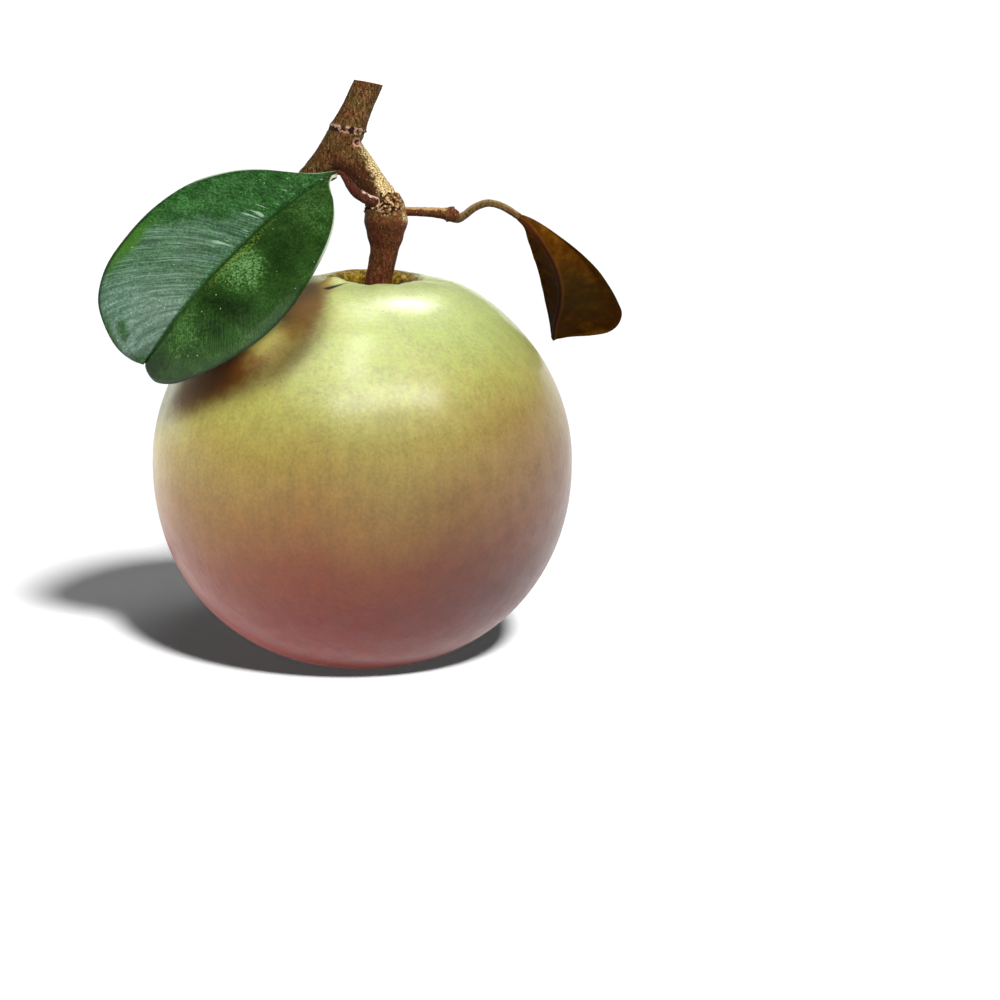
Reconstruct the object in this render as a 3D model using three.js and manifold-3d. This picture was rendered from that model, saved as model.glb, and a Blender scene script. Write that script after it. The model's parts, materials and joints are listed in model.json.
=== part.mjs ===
// A whole star apple (Chrysophyllum cainito) as picked: a round fruit that stands on a small flat
// spot, its calyx and woody stalk in the hollow on top, and the piece of branch that came away
// with it, which carries two leaves.
// Millimetres, +Z up. The origin is the centre of the flat spot. +X is to the right and +Y to the
// back as the fruit is looked at from the side of its larger leaf.

import * as THREE from "three";
import { mergeVertices } from "three/addons/utils/BufferGeometryUtils.js";
import Module from "manifold-3d";

const wasm = await Module();
wasm.setup();

// ---- Driving dimensions -------------------------------------------------------------------------

const JOINT_GAP = 0.3; // between pieces that grow on each other

const FRUIT_RADIUS = 40;
const EQUATOR_HEIGHT = 39;
const FRUIT_HEIGHT = 73.6; // to the crest round the stalk's hollow
const FOOT_RADIUS = 10; // the flat spot
const CREST_RADIUS = 9.2;
const HOLLOW_DEPTH = 6.6;
const HOLLOW_FLOOR_RADIUS = 3.4;
const HOLLOW_SHIFT = 2.2; // the hollow lies a little to the right of the fruit's middle
const LEAN_RADIUS = 31; // the fruit's top leans towards it inside this radius
const LOWER_FULLNESS = 2.16; // superellipse exponents: 2 is an ellipse, more is fuller
const UPPER_FULLNESS = 1.9;
const LOBE_COUNT = 5;
const LOBE_SWELL = 0.004; // share of the radius
const FRUIT_SIDES = 48;
const FRUIT_STEPS = 14; // from the foot to the equator, and from there to the crest
const HOLLOW_STEPS = 7;

const SEPAL_COUNT = 5;
const SEPAL_LENGTH = 3.6;
const SEPAL_WIDTH = 3.4;
const SEPAL_THICKNESS = 0.6;
const SEPAL_SLOPE = 0.8; // radians: the tips rise with the hollow's wall
const SEPAL_HEIGHT = 1.6; // of its middle above the calyx's foot
const COLLAR_HEIGHT = 1.1;
const COLLAR_SIDES = 30;

const LIMB_SIDES = 12;
const LIMB_RINGS = 14;
const SHOOT_RINGS = 10;
const STALK_RINGS = 18;
const BLADE_STATIONS = 22;
const BLADE_STEPS = 4; // from the midrib to each margin
const BLADE_THICKNESS = 0.7;
const BLADE_EDGE_SHARE = 0.6; // the margin's thickness as a share of the middle's
const BLADE_ARCH = 0.7; // how far each half bows up between midrib and margin
const BLADE_ARCH_WIDTH = 12; // halves narrower than this bow less
const BLADE_LEAST_HALF = 0.5; // the narrowest half width, at the base and the tip
const RIB_TIP_RADIUS = 0.35;
const RIB_SHARE = 0.9; // of the blade's length

// Where the fruit's axis meets the hollow's floor
const HOLLOW_FLOOR = new THREE.Vector3(HOLLOW_SHIFT, 0, FRUIT_HEIGHT - HOLLOW_DEPTH);

// The side shoot, the swollen node under it and the fruit's stalk lie on one axis. Each row holds
// a point on it and the radius there, from the branch down to the fruit.
const SHOOT_AND_STALK = [
  [-2.7, 3.0, 98.7, 2.5],
  [-0.7, 2.0, 96.2, 2.3],
  [2.0, 0.9, 92.3, 2.25],
  [3.6, 0.3, 89.3, 2.6],
  [4.6, 0.0, 86.6, 3.75],
  [4.8, 0.0, 84.2, 4.1],
  [4.7, 0.0, 81.6, 3.4],
  [4.5, 0.0, 79.0, 2.65],
  [3.8, 0.0, 75.2, 2.45],
  [2.9, 0.0, 71.0, 2.4],
  [2.4, 0.0, 69.0, 2.4],
  [2.2, 0.0, 67.5, 2.55],
];
const SHOOT_SHARE = 0.365; // of that axis, down to the joint where the stalk begins

// The main branch, from its upper cut to its lower one: point and radius
const BRANCH = [
  [1.8, 4.0, 110.0, 2.65],
  [-0.4, 3.5, 105.2, 2.75],
  [-2.4, 3.0, 100.9, 3.3],
  [-4.8, 3.1, 97.0, 3.05],
  [-7.5, 3.6, 93.9, 2.6],
  [-10.2, 4.5, 90.9, 2.45],
];

// The short side twig that carries the right leaf
const SPUR = [
  [6.6, 0.0, 86.0, 0.95],
  [9.6, 0.0, 86.0, 0.8],
  [12.4, -0.3, 85.9, 0.85],
  [15.2, -0.6, 85.7, 1.0],
  [17.2, -0.9, 85.4, 1.3],
  [18.3, -1.0, 85.0, 1.05],
];

// Each leaf has its stalk as rows of point and radius, then its midrib and its margins as points.
// top is +1 if the upper face is on the side of (left margin - midrib) x (direction of growth),
// otherwise -1, and ribDrop moves the rib down from the midrib to the blade's lower face.
const LEFT_LEAF = {
  top: 1,
  ribDrop: [0.2, 0.35, -0.2],
  petiole: [
    [3.2, -2.2, 87.6, 1.1],
    [1.1, -3.5, 88.8, 1.0],
    [-0.7, -3.9, 90.4, 0.9],
    [-2.2, -3.7, 92.0, 0.8],
    [-3.4, -3.7, 93.2, 0.65],
    [-4.4, -4.2, 93.7, 0.6],
    [-6.6, -6.0, 92.6, 0.6],
  ],
  midrib: [
    [-5.0, -4.9, 93.4],
    [-9.2, -8.0, 90.8],
    [-14.7, -13.0, 87.1],
    [-20.9, -20.0, 81.8],
    [-27.0, -25.5, 76.0],
    [-32.3, -29.0, 69.9],
    [-35.9, -29.5, 65.1],
    [-38.8, -28.0, 60.9],
  ],
  left: [
    [-5.5, -4.7, 94.0],
    [-11.1, -7.0, 94.0],
    [-18.0, -10.0, 94.7],
    [-24.1, -13.0, 94.4],
    [-30.8, -17.0, 92.5],
    [-36.9, -21.0, 88.6],
    [-42.0, -24.0, 83.4],
    [-45.6, -27.0, 78.0],
    [-46.8, -29.0, 72.5],
    [-45.7, -30.0, 67.9],
    [-43.4, -30.0, 63.6],
    [-40.8, -29.0, 61.4],
    [-39.2, -28.2, 60.8],
  ],
  right: [
    [-4.5, -5.4, 93.2],
    [-4.7, -10.0, 89.6],
    [-4.8, -16.0, 85.6],
    [-5.7, -20.0, 82.3],
    [-7.3, -24.0, 79.0],
    [-9.8, -28.0, 74.9],
    [-13.0, -31.0, 70.5],
    [-17.6, -33.0, 66.3],
    [-23.0, -33.5, 62.6],
    [-28.8, -32.0, 59.5],
    [-33.9, -30.0, 57.4],
    [-37.2, -29.0, 57.7],
    [-38.5, -28.3, 59.5],
    [-38.4, -28.0, 60.4],
  ],
};

const RIGHT_LEAF = {
  top: -1,
  ribDrop: [0, 0, 0],
  petiole: [
    [17.3, -0.9, 84.9, 0.85],
    [18.4, -1.0, 84.7, 0.8],
    [19.7, -1.2, 85.4, 0.72],
    [21.6, -1.3, 86.8, 0.7],
    [23.7, -1.5, 87.6, 0.68],
    [25.2, -1.5, 87.5, 0.66],
    [27.3, -1.5, 86.7, 0.66],
    [31.4, -1.2, 84.0, 0.6],
  ],
  midrib: [
    [29.9, -1.5, 85.1],
    [32.0, -1.0, 83.1],
    [34.2, 0.0, 80.5],
    [36.7, 3.0, 76.4],
    [38.0, 6.5, 73.0],
    [38.7, 10.5, 69.8],
    [38.7, 15.0, 66.2],
    [38.4, 19.5, 62.8],
    [38.4, 25.0, 58.9],
  ],
  left: [
    [29.6, -1.2, 84.7],
    [31.0, 0.0, 83.0],
    [32.3, 4.0, 79.6],
    [34.0, 9.0, 75.6],
    [35.5, 15.0, 70.7],
    [36.7, 20.0, 66.1],
    [37.7, 24.0, 61.7],
    [37.9, 25.0, 59.1],
  ],
  right: [
    [30.3, -1.5, 85.5],
    [32.8, 0.0, 84.3],
    [37.7, 2.0, 81.1],
    [42.0, 5.0, 77.8],
    [45.5, 8.0, 74.5],
    [48.1, 11.0, 71.1],
    [50.2, 14.5, 67.6],
    [51.2, 17.0, 65.2],
    [50.7, 20.0, 62.4],
    [49.0, 22.0, 60.9],
    [45.5, 23.5, 60.1],
    [41.6, 24.5, 59.5],
    [38.9, 25.1, 58.8],
  ],
};

// ---- From geometry to solids and back -----------------------------------------------------------

// A closed geometry as a manifold-3d solid
function solidFrom(geometry) {
  const bare = geometry.clone();
  bare.deleteAttribute("normal");
  bare.deleteAttribute("uv");
  const merged = mergeVertices(bare, 1e-4);
  return new wasm.Manifold(
    new wasm.Mesh({
      numProp: 3,
      vertProperties: merged.attributes.position.array,
      triVerts: new Uint32Array(merged.index.array),
    }),
  );
}

// A manifold-3d solid as a named mesh
function meshFrom(solid, name, material) {
  const { vertProperties, triVerts } = solid.getMesh();
  const geometry = new THREE.BufferGeometry()
    .setAttribute("position", new THREE.BufferAttribute(vertProperties, 3))
    .setIndex(new THREE.BufferAttribute(triVerts, 1));
  geometry.computeVertexNormals();
  const mesh = new THREE.Mesh(geometry, material);
  mesh.name = name;
  return mesh;
}

// A closed solid through rings with the same number of points, with flat ends. Point i of a ring
// lies across from its last point but i, so the ends close as ladders.
function loft(rings) {
  const count = rings[0].length;
  const faces = [];
  for (let r = 0; r + 1 < rings.length; r++) {
    for (let i = 0; i < count; i++) {
      const a = r * count + i;
      const b = r * count + ((i + 1) % count);
      faces.push(a, b, b + count, a, b + count, a + count);
    }
  }
  const last = (rings.length - 1) * count;
  for (let i = 0; i + 1 < count / 2; i++) {
    const across = count - 1 - i;
    faces.push(i, across, across - 1, i, across - 1, i + 1);
    faces.push(last + i, last + across - 1, last + across);
    faces.push(last + i, last + i + 1, last + across - 1);
  }
  const geometry = new THREE.BufferGeometry().setFromPoints(rings.flat());
  geometry.setIndex(faces);
  return solidFrom(geometry);
}

// ---- Limbs: round stems whose radius changes along them -----------------------------------------

const pointOf = ([x, y, z]) => new THREE.Vector3(x, y, z);

// The radius at a share of the way along rows of [x, y, z, radius]
function radiusAt(rows, curve, share) {
  const along = curve.getUtoTmapping(share) * (rows.length - 1);
  const before = Math.min(Math.floor(along), rows.length - 2);
  return THREE.MathUtils.lerp(rows[before][3], rows[before + 1][3], along - before);
}

// A limb along rows of [x, y, z, radius], or a stretch of it, grown outwards by extra
function limb(rows, { from = 0, to = 1, rings = LIMB_RINGS, extra = 0 } = {}) {
  const curve = new THREE.CatmullRomCurve3(rows.map(pointOf), false, "centripetal");
  const side = new THREE.Vector3();
  const up = new THREE.Vector3(0, 1, 0);
  const loops = [];
  for (let r = 0; r <= rings; r++) {
    const share = THREE.MathUtils.lerp(from, to, r / rings);
    const tangent = curve.getTangentAt(share);
    const middle = curve.getPointAt(share);
    const radius = radiusAt(rows, curve, share) + extra;
    side.crossVectors(tangent, up).normalize();
    const other = new THREE.Vector3().crossVectors(tangent, side);
    const loop = [];
    for (let i = 0; i < LIMB_SIDES; i++) {
      const angle = ((i + 0.5) / LIMB_SIDES) * 2 * Math.PI;
      loop.push(
        middle
          .clone()
          .addScaledVector(side, radius * Math.cos(angle))
          .addScaledVector(other, radius * Math.sin(angle)),
      );
    }
    loops.push(loop);
  }
  return loft(loops);
}

// ---- Fruit --------------------------------------------------------------------------------------

// The outline from the middle of the foot, out round the equator and over the crest, to the
// hollow's floor
function fruitOutline() {
  const outline = [new THREE.Vector2(0, 0)];
  const footShare = (FOOT_RADIUS / FRUIT_RADIUS) ** LOWER_FULLNESS;
  const lowerHeight = EQUATOR_HEIGHT / (1 - footShare) ** (1 / LOWER_FULLNESS);
  const firstAngle = Math.acos(Math.sqrt(footShare));
  for (let i = 0; i < FRUIT_STEPS; i++) {
    const angle = firstAngle * (1 - i / FRUIT_STEPS);
    outline.push(
      new THREE.Vector2(
        FRUIT_RADIUS * Math.cos(angle) ** (2 / LOWER_FULLNESS),
        EQUATOR_HEIGHT - lowerHeight * Math.sin(angle) ** (2 / LOWER_FULLNESS),
      ),
    );
  }
  const reach = FRUIT_RADIUS - CREST_RADIUS;
  for (let i = 0; i < FRUIT_STEPS; i++) {
    const angle = (Math.PI / 2) * (i / FRUIT_STEPS);
    outline.push(
      new THREE.Vector2(
        CREST_RADIUS + reach * Math.cos(angle) ** (2 / UPPER_FULLNESS),
        EQUATOR_HEIGHT + (FRUIT_HEIGHT - EQUATOR_HEIGHT) * Math.sin(angle) ** (2 / UPPER_FULLNESS),
      ),
    );
  }
  for (let i = 0; i <= HOLLOW_STEPS; i++) {
    const radius = THREE.MathUtils.lerp(CREST_RADIUS, HOLLOW_FLOOR_RADIUS, i / HOLLOW_STEPS);
    const sunk = (1 - Math.cos((Math.PI * i) / HOLLOW_STEPS)) / 2;
    outline.push(new THREE.Vector2(radius, FRUIT_HEIGHT - HOLLOW_DEPTH * sunk));
  }
  outline.push(new THREE.Vector2(0, FRUIT_HEIGHT - HOLLOW_DEPTH));
  return outline;
}

function fruitSolid() {
  const geometry = new THREE.LatheGeometry(fruitOutline(), FRUIT_SIDES);
  geometry.rotateX(Math.PI / 2); // the lathe's axis is +Y
  const position = geometry.attributes.position;
  for (let i = 0; i < position.count; i++) {
    const x = position.getX(i);
    const y = position.getY(i);
    const z = position.getZ(i);
    const lobes = Math.cos(LOBE_COUNT * Math.atan2(y, x));
    const body = Math.sin((Math.PI * Math.min(Math.max(z, 0), FRUIT_HEIGHT)) / FRUIT_HEIGHT);
    const swell = 1 + LOBE_SWELL * lobes * body;
    const lean = 1 - THREE.MathUtils.smoothstep(Math.hypot(x, y), CREST_RADIUS, LEAN_RADIUS);
    const shift = z > EQUATOR_HEIGHT ? HOLLOW_SHIFT * lean : 0;
    position.setXY(i, x * swell + shift, y * swell);
  }
  return solidFrom(geometry);
}

// ---- Calyx: a collar round the stalk with a ring of small rounded sepals -------------------------

function calyxSolid() {
  const stalkRadius = SHOOT_AND_STALK.at(-1)[3];
  const inner = stalkRadius + JOINT_GAP;
  const outer = inner + SEPAL_THICKNESS;
  const profile = [
    [inner, 0],
    [outer, 0],
    [outer, COLLAR_HEIGHT],
    [inner, COLLAR_HEIGHT],
    [inner, 0],
  ];
  const collar = new THREE.LatheGeometry(
    profile.map(([r, z]) => new THREE.Vector2(r, z)),
    COLLAR_SIDES,
  );
  collar.rotateX(Math.PI / 2);
  let solid = solidFrom(collar);

  const outline = new THREE.Shape();
  outline.absellipse(0, 0, SEPAL_LENGTH / 2, SEPAL_WIDTH / 2, 0, 2 * Math.PI);
  for (let i = 0; i < SEPAL_COUNT; i++) {
    const sepal = new THREE.ExtrudeGeometry(outline, {
      depth: SEPAL_THICKNESS,
      bevelEnabled: false,
      curveSegments: 8,
    });
    sepal.rotateY(-SEPAL_SLOPE);
    sepal.translate(inner + 0.5 * SEPAL_LENGTH, 0, SEPAL_HEIGHT);
    sepal.rotateZ(((i + 0.25) / SEPAL_COUNT) * 2 * Math.PI);
    solid = solid.add(solidFrom(sepal));
  }
  const boreLength = 4 * SEPAL_LENGTH;
  const bore = new THREE.CylinderGeometry(inner, inner, boreLength, COLLAR_SIDES);
  bore.rotateX(Math.PI / 2);
  return solid.subtract(solidFrom(bore));
}

// ---- Leaves -------------------------------------------------------------------------------------

// One half of a blade at a station, from just off the midrib to the margin: points in the middle of
// its thickness, with the direction of the upper face and the thickness there
function halfSection(middle, edge, tangent, turn) {
  const across = new THREE.Vector3().subVectors(edge, middle);
  across.setLength(Math.max(across.length(), BLADE_LEAST_HALF));
  const up = new THREE.Vector3().crossVectors(across, tangent).multiplyScalar(turn).normalize();
  const points = [];
  for (let i = 1; i <= BLADE_STEPS; i++) {
    const share = i / BLADE_STEPS;
    const width = Math.min(across.length() / BLADE_ARCH_WIDTH, 1);
    const arch = BLADE_ARCH * 4 * share * (1 - share) * width;
    const thickness = BLADE_THICKNESS * THREE.MathUtils.lerp(1, BLADE_EDGE_SHARE, share);
    const point = middle.clone().addScaledVector(across, share).addScaledVector(up, arch);
    points.push({ point, up, thickness });
  }
  return points;
}

// A blade between its margins, folded along the midrib
function blade({ midrib, left, right, top }) {
  const [mid, port, starboard] = [midrib, left, right].map(
    (rows) => new THREE.CatmullRomCurve3(rows.map(pointOf), false, "centripetal"),
  );
  const rings = [];
  for (let s = 0; s <= BLADE_STATIONS; s++) {
    const share = s / BLADE_STATIONS;
    const middle = mid.getPointAt(share);
    const tangent = mid.getTangentAt(share);
    const leftHalf = halfSection(middle, port.getPointAt(share), tangent, top);
    const rightHalf = halfSection(middle, starboard.getPointAt(share), tangent, -top);
    const up = leftHalf[0].up.clone().add(rightHalf[0].up).normalize();
    const ribs = { point: middle, up, thickness: BLADE_THICKNESS };
    const section = [...leftHalf.reverse(), ribs, ...rightHalf];
    const face = (sign) =>
      section.map(({ point, up: normal, thickness }) =>
        point.clone().addScaledVector(normal, (sign * thickness) / 2),
      );
    rings.push([...face(1), ...face(-1).reverse()]);
  }
  if (top > 0) rings.forEach((ring) => ring.reverse());
  return loft(rings);
}

// The raised rib under a blade, thinning towards the tip
function ribUnder({ midrib, petiole, ribDrop: drop }) {
  const startRadius = petiole.at(-1)[3];
  const rows = midrib.map(([x, y, z], i) => {
    const radius = THREE.MathUtils.lerp(startRadius, RIB_TIP_RADIUS, i / (midrib.length - 1));
    return [x + drop[0], y + drop[1], z + drop[2], radius];
  });
  return limb(rows, { from: 0.01, to: RIB_SHARE });
}

// A whole leaf, cut clear of the wood that it grows on
function leaf(shape, ...wood) {
  const whole = limb(shape.petiole).add(blade(shape)).add(ribUnder(shape));
  return wood.reduce((rest, limbClear) => rest.subtract(limbClear), whole);
}

// ---- The object ---------------------------------------------------------------------------------

const axisLength = new THREE.CatmullRomCurve3(
  SHOOT_AND_STALK.map(pointOf),
  false,
  "centripetal",
).getLength();
const gapShare = JOINT_GAP / axisLength;

const shoot = limb(SHOOT_AND_STALK, { to: SHOOT_SHARE - gapShare, rings: SHOOT_RINGS });
const stalk = limb(SHOOT_AND_STALK, { from: SHOOT_SHARE, rings: STALK_RINGS });
const branch = limb(BRANCH).add(shoot);

// The same wood grown by the joint gap, to cut what grows on it
const shootClear = limb(SHOOT_AND_STALK, { rings: SHOOT_RINGS + STALK_RINGS, extra: JOINT_GAP });
const branchClear = limb(BRANCH, { extra: JOINT_GAP });
const spur = limb(SPUR).subtract(shootClear);
const spurClear = limb(SPUR, { extra: JOINT_GAP });

const skin = new THREE.MeshStandardMaterial({ color: 0xb9b066, roughness: 0.3 });
const driedCalyx = new THREE.MeshStandardMaterial({ color: 0x5a4426, roughness: 0.8 });
const bark = new THREE.MeshStandardMaterial({ color: 0x6d5136, roughness: 0.85 });
const greenLeaf = new THREE.MeshStandardMaterial({ color: 0x2f5a28, roughness: 0.35 });
const copperLeaf = new THREE.MeshStandardMaterial({ color: 0x4a2f16, roughness: 0.55 });

const starApple = new THREE.Group();
starApple.name = "star_apple";
starApple.add(meshFrom(fruitSolid(), "fruit", skin));

const calyx = meshFrom(calyxSolid(), "calyx", driedCalyx);
calyx.position.copy(HOLLOW_FLOOR).add(new THREE.Vector3(0, 0, JOINT_GAP));
starApple.add(calyx);

starApple.add(meshFrom(stalk, "fruit_stalk", bark));
starApple.add(meshFrom(branch, "branch", bark));
starApple.add(meshFrom(spur, "leaf_spur", bark));
starApple.add(meshFrom(leaf(LEFT_LEAF, shootClear, branchClear), "left_leaf", greenLeaf));
starApple.add(meshFrom(leaf(RIGHT_LEAF, spurClear), "right_leaf", copperLeaf));

export default starApple;
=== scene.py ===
import json
import math

import bpy
import numpy as np
from mathutils import Matrix, Vector, noise

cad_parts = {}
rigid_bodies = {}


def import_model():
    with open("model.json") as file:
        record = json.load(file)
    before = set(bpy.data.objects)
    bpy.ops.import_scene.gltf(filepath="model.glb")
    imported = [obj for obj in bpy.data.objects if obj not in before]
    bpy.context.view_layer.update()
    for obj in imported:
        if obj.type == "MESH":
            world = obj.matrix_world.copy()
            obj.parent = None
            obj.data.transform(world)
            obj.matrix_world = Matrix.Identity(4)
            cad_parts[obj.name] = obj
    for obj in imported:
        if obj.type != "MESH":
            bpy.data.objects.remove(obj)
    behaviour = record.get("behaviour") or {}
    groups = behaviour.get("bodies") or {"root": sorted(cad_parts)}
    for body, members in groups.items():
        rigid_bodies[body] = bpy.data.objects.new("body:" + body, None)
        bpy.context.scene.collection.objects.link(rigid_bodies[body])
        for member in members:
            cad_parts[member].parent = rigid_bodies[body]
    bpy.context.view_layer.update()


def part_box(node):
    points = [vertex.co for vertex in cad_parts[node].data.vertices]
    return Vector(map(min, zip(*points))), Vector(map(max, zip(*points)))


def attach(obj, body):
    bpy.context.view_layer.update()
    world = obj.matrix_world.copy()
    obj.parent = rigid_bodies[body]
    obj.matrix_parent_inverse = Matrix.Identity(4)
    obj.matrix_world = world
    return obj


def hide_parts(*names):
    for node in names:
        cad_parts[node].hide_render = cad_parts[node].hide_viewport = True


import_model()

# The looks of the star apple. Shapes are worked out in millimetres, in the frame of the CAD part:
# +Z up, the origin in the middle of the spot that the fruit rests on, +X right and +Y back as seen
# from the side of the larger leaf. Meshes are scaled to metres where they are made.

MM = 0.001

# ---- Driving sizes, as in the CAD part ----

FRUIT_LOW, FRUIT_HIGH = (np.array(corner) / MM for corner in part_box("fruit"))
FRUIT_RADIUS = (FRUIT_HIGH[1] - FRUIT_LOW[1]) / 2
FRUIT_HEIGHT = FRUIT_HIGH[2]
EQUATOR_HEIGHT = 39.0
FOOT_RADIUS = 10.0
CREST_RADIUS = 9.2
HOLLOW_DEPTH = 6.6
HOLLOW_FLOOR_RADIUS = 3.4
HOLLOW_SHIFT = 2.2
LEAN_RADIUS = 31.0
LOWER_FULLNESS = 2.16
UPPER_FULLNESS = 1.9
LOBE_COUNT = 5
LOBE_SWELL = 0.004

SEPAL_COUNT = 5
SEPAL_LENGTH = 3.6
SEPAL_WIDTH = 3.2
JOINT_GAP = 0.3

# Limbs: rows of a point on the axis and the radius there
SHOOT_AND_STALK = [
    (-2.7, 3.0, 98.7, 2.5), (-0.7, 2.0, 96.2, 2.3), (2.0, 0.9, 92.3, 2.25), (3.6, 0.3, 89.3, 2.6),
    (4.6, 0.0, 86.6, 3.75), (4.8, 0.0, 84.2, 4.1), (4.7, 0.0, 81.6, 3.4), (4.5, 0.0, 79.0, 2.65),
    (3.8, 0.0, 75.2, 2.45), (2.9, 0.0, 71.0, 2.4), (2.4, 0.0, 69.0, 2.4), (2.2, 0.0, 67.5, 2.55),
]
SHOOT_SHARE = 0.365
BRANCH = [
    (1.8, 4.0, 110.0, 2.65), (-0.4, 3.5, 105.2, 2.75), (-2.4, 3.0, 100.9, 3.3), (-4.8, 3.1, 97.0, 3.05),
    (-7.5, 3.6, 93.9, 2.6), (-10.2, 4.5, 90.9, 2.45),
]
SPUR = [
    (6.6, 0.0, 86.0, 0.95), (9.6, 0.0, 86.0, 0.8), (12.4, -0.3, 85.9, 0.85), (15.2, -0.6, 85.7, 1.0),
    (17.2, -0.9, 85.4, 1.3), (18.3, -1.0, 85.0, 1.05),
]
# The fillet in the fork of the branch and its shoot
WEB = [
    (-6.0, 3.2, 96.9, 2.3), (-3.4, 2.8, 96.2, 2.9), (-0.7, 2.0, 94.4, 2.65), (1.0, 1.2, 92.4, 2.45),
    (2.6, 0.5, 90.2, 2.2),
]
BUD = [(16.8, -1.0, 85.9, 0.55), (17.3, -1.1, 86.5, 0.42), (17.7, -1.1, 86.9, 0.15)]
LEFT_LEAF = {
    "top": 1,
    "petiole_top": 2.8,
    "petiole": [
        (3.2, -2.2, 87.7, 1.1), (1.2, -3.3, 88.6, 1.0), (-0.6, -3.9, 89.8, 1.0),
        (-1.7, -3.9, 91.1, 0.9), (-2.7, -3.8, 92.5, 0.62), (-3.5, -3.9, 93.4, 0.45),
        (-4.4, -4.3, 93.5, 0.4), (-6.5, -5.8, 92.0, 0.45),
    ],
    "midrib": [
        (-4.2, -4.5, 93.6), (-9.2, -8.0, 90.8), (-14.7, -13.0, 87.1), (-20.9, -20.0, 81.8),
        (-27.0, -25.5, 76.0), (-32.3, -29.0, 69.9), (-35.9, -29.5, 65.1), (-38.8, -28.0, 60.9),
    ],
    "left": [
        (-4.3, -4.4, 93.9), (-7.6, -5.7, 93.6), (-11.1, -7.0, 93.8), (-18.0, -10.0, 94.7),
        (-24.1, -13.0, 94.4), (-30.8, -17.0, 92.5), (-36.9, -21.0, 88.6), (-42.0, -24.0, 83.4),
        (-45.6, -27.0, 78.0), (-46.8, -29.0, 72.5), (-45.7, -30.0, 67.9), (-43.4, -30.0, 63.6),
        (-40.8, -29.0, 61.4), (-39.2, -28.2, 60.8),
    ],
    "right": [
        (-4.2, -4.7, 93.4), (-5.1, -5.9, 92.9), (-5.6, -7.3, 91.8), (-5.4, -8.9, 90.6),
        (-4.9, -11.0, 89.0), (-4.8, -16.0, 85.6), (-5.7, -20.0, 82.3), (-7.3, -24.0, 79.0),
        (-9.8, -28.0, 74.9), (-13.0, -31.0, 70.5), (-17.6, -33.0, 66.3), (-23.0, -33.5, 62.6),
        (-28.8, -32.0, 59.5), (-33.9, -30.0, 57.4), (-37.2, -29.0, 57.7), (-38.5, -28.3, 59.5),
        (-38.4, -28.0, 60.4),
    ],
}
RIGHT_LEAF = {
    "top": -1,
    "petiole_top": 0.35,
    "petiole": [
        (17.3, -0.9, 84.9, 0.85), (18.4, -1.0, 84.7, 0.8), (19.7, -1.2, 85.4, 0.72),
        (21.6, -1.3, 86.8, 0.7), (23.7, -1.5, 87.6, 0.68), (25.2, -1.5, 87.5, 0.66),
        (27.3, -1.5, 86.7, 0.66), (31.4, -1.2, 84.0, 0.6),
    ],
    "midrib": [
        (29.9, -1.5, 85.1), (32.0, -1.0, 83.1), (34.2, 0.0, 80.5), (36.7, 3.0, 76.4), (38.0, 6.5, 73.0),
        (38.7, 10.5, 69.8), (38.7, 15.0, 66.2), (38.4, 19.5, 62.8), (38.4, 25.0, 58.9),
    ],
    "left": [
        (29.6, -1.2, 84.7), (31.0, 0.0, 83.0), (32.3, 4.0, 79.6), (34.0, 9.0, 75.6), (35.5, 15.0, 70.7),
        (36.7, 20.0, 66.1), (37.7, 24.0, 61.7), (37.9, 25.0, 59.1),
    ],
    "right": [
        (30.3, -1.5, 85.5), (32.8, 0.0, 84.3), (37.7, 2.0, 81.1), (42.0, 5.0, 77.8), (45.5, 8.0, 74.5),
        (48.1, 11.0, 71.1), (50.2, 14.5, 67.6), (51.2, 17.0, 65.2), (50.7, 20.0, 62.4),
        (49.0, 22.0, 60.9), (45.5, 23.5, 60.1), (41.6, 24.5, 59.5), (38.9, 25.1, 58.8),
    ],
}

# ---- Curves and grids ----


def smoothstep(low, high, x):
    t = np.clip((x - low) / (high - low), 0, 1)
    return t * t * (3 - 2 * t)


def lerp(a, b, t):
    return a + (b - a) * t


def bump_at(x, centre, width):
    """A smooth bump of height 1 at centre."""
    return np.exp(-(((x - centre) / width) ** 2))


def slope(a, b, c, before, after):
    """The curve's slope at b, from the points beside it and the gaps to them."""
    return (b - a) / before - (c - a) / (before + after) + (c - b) / after


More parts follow.
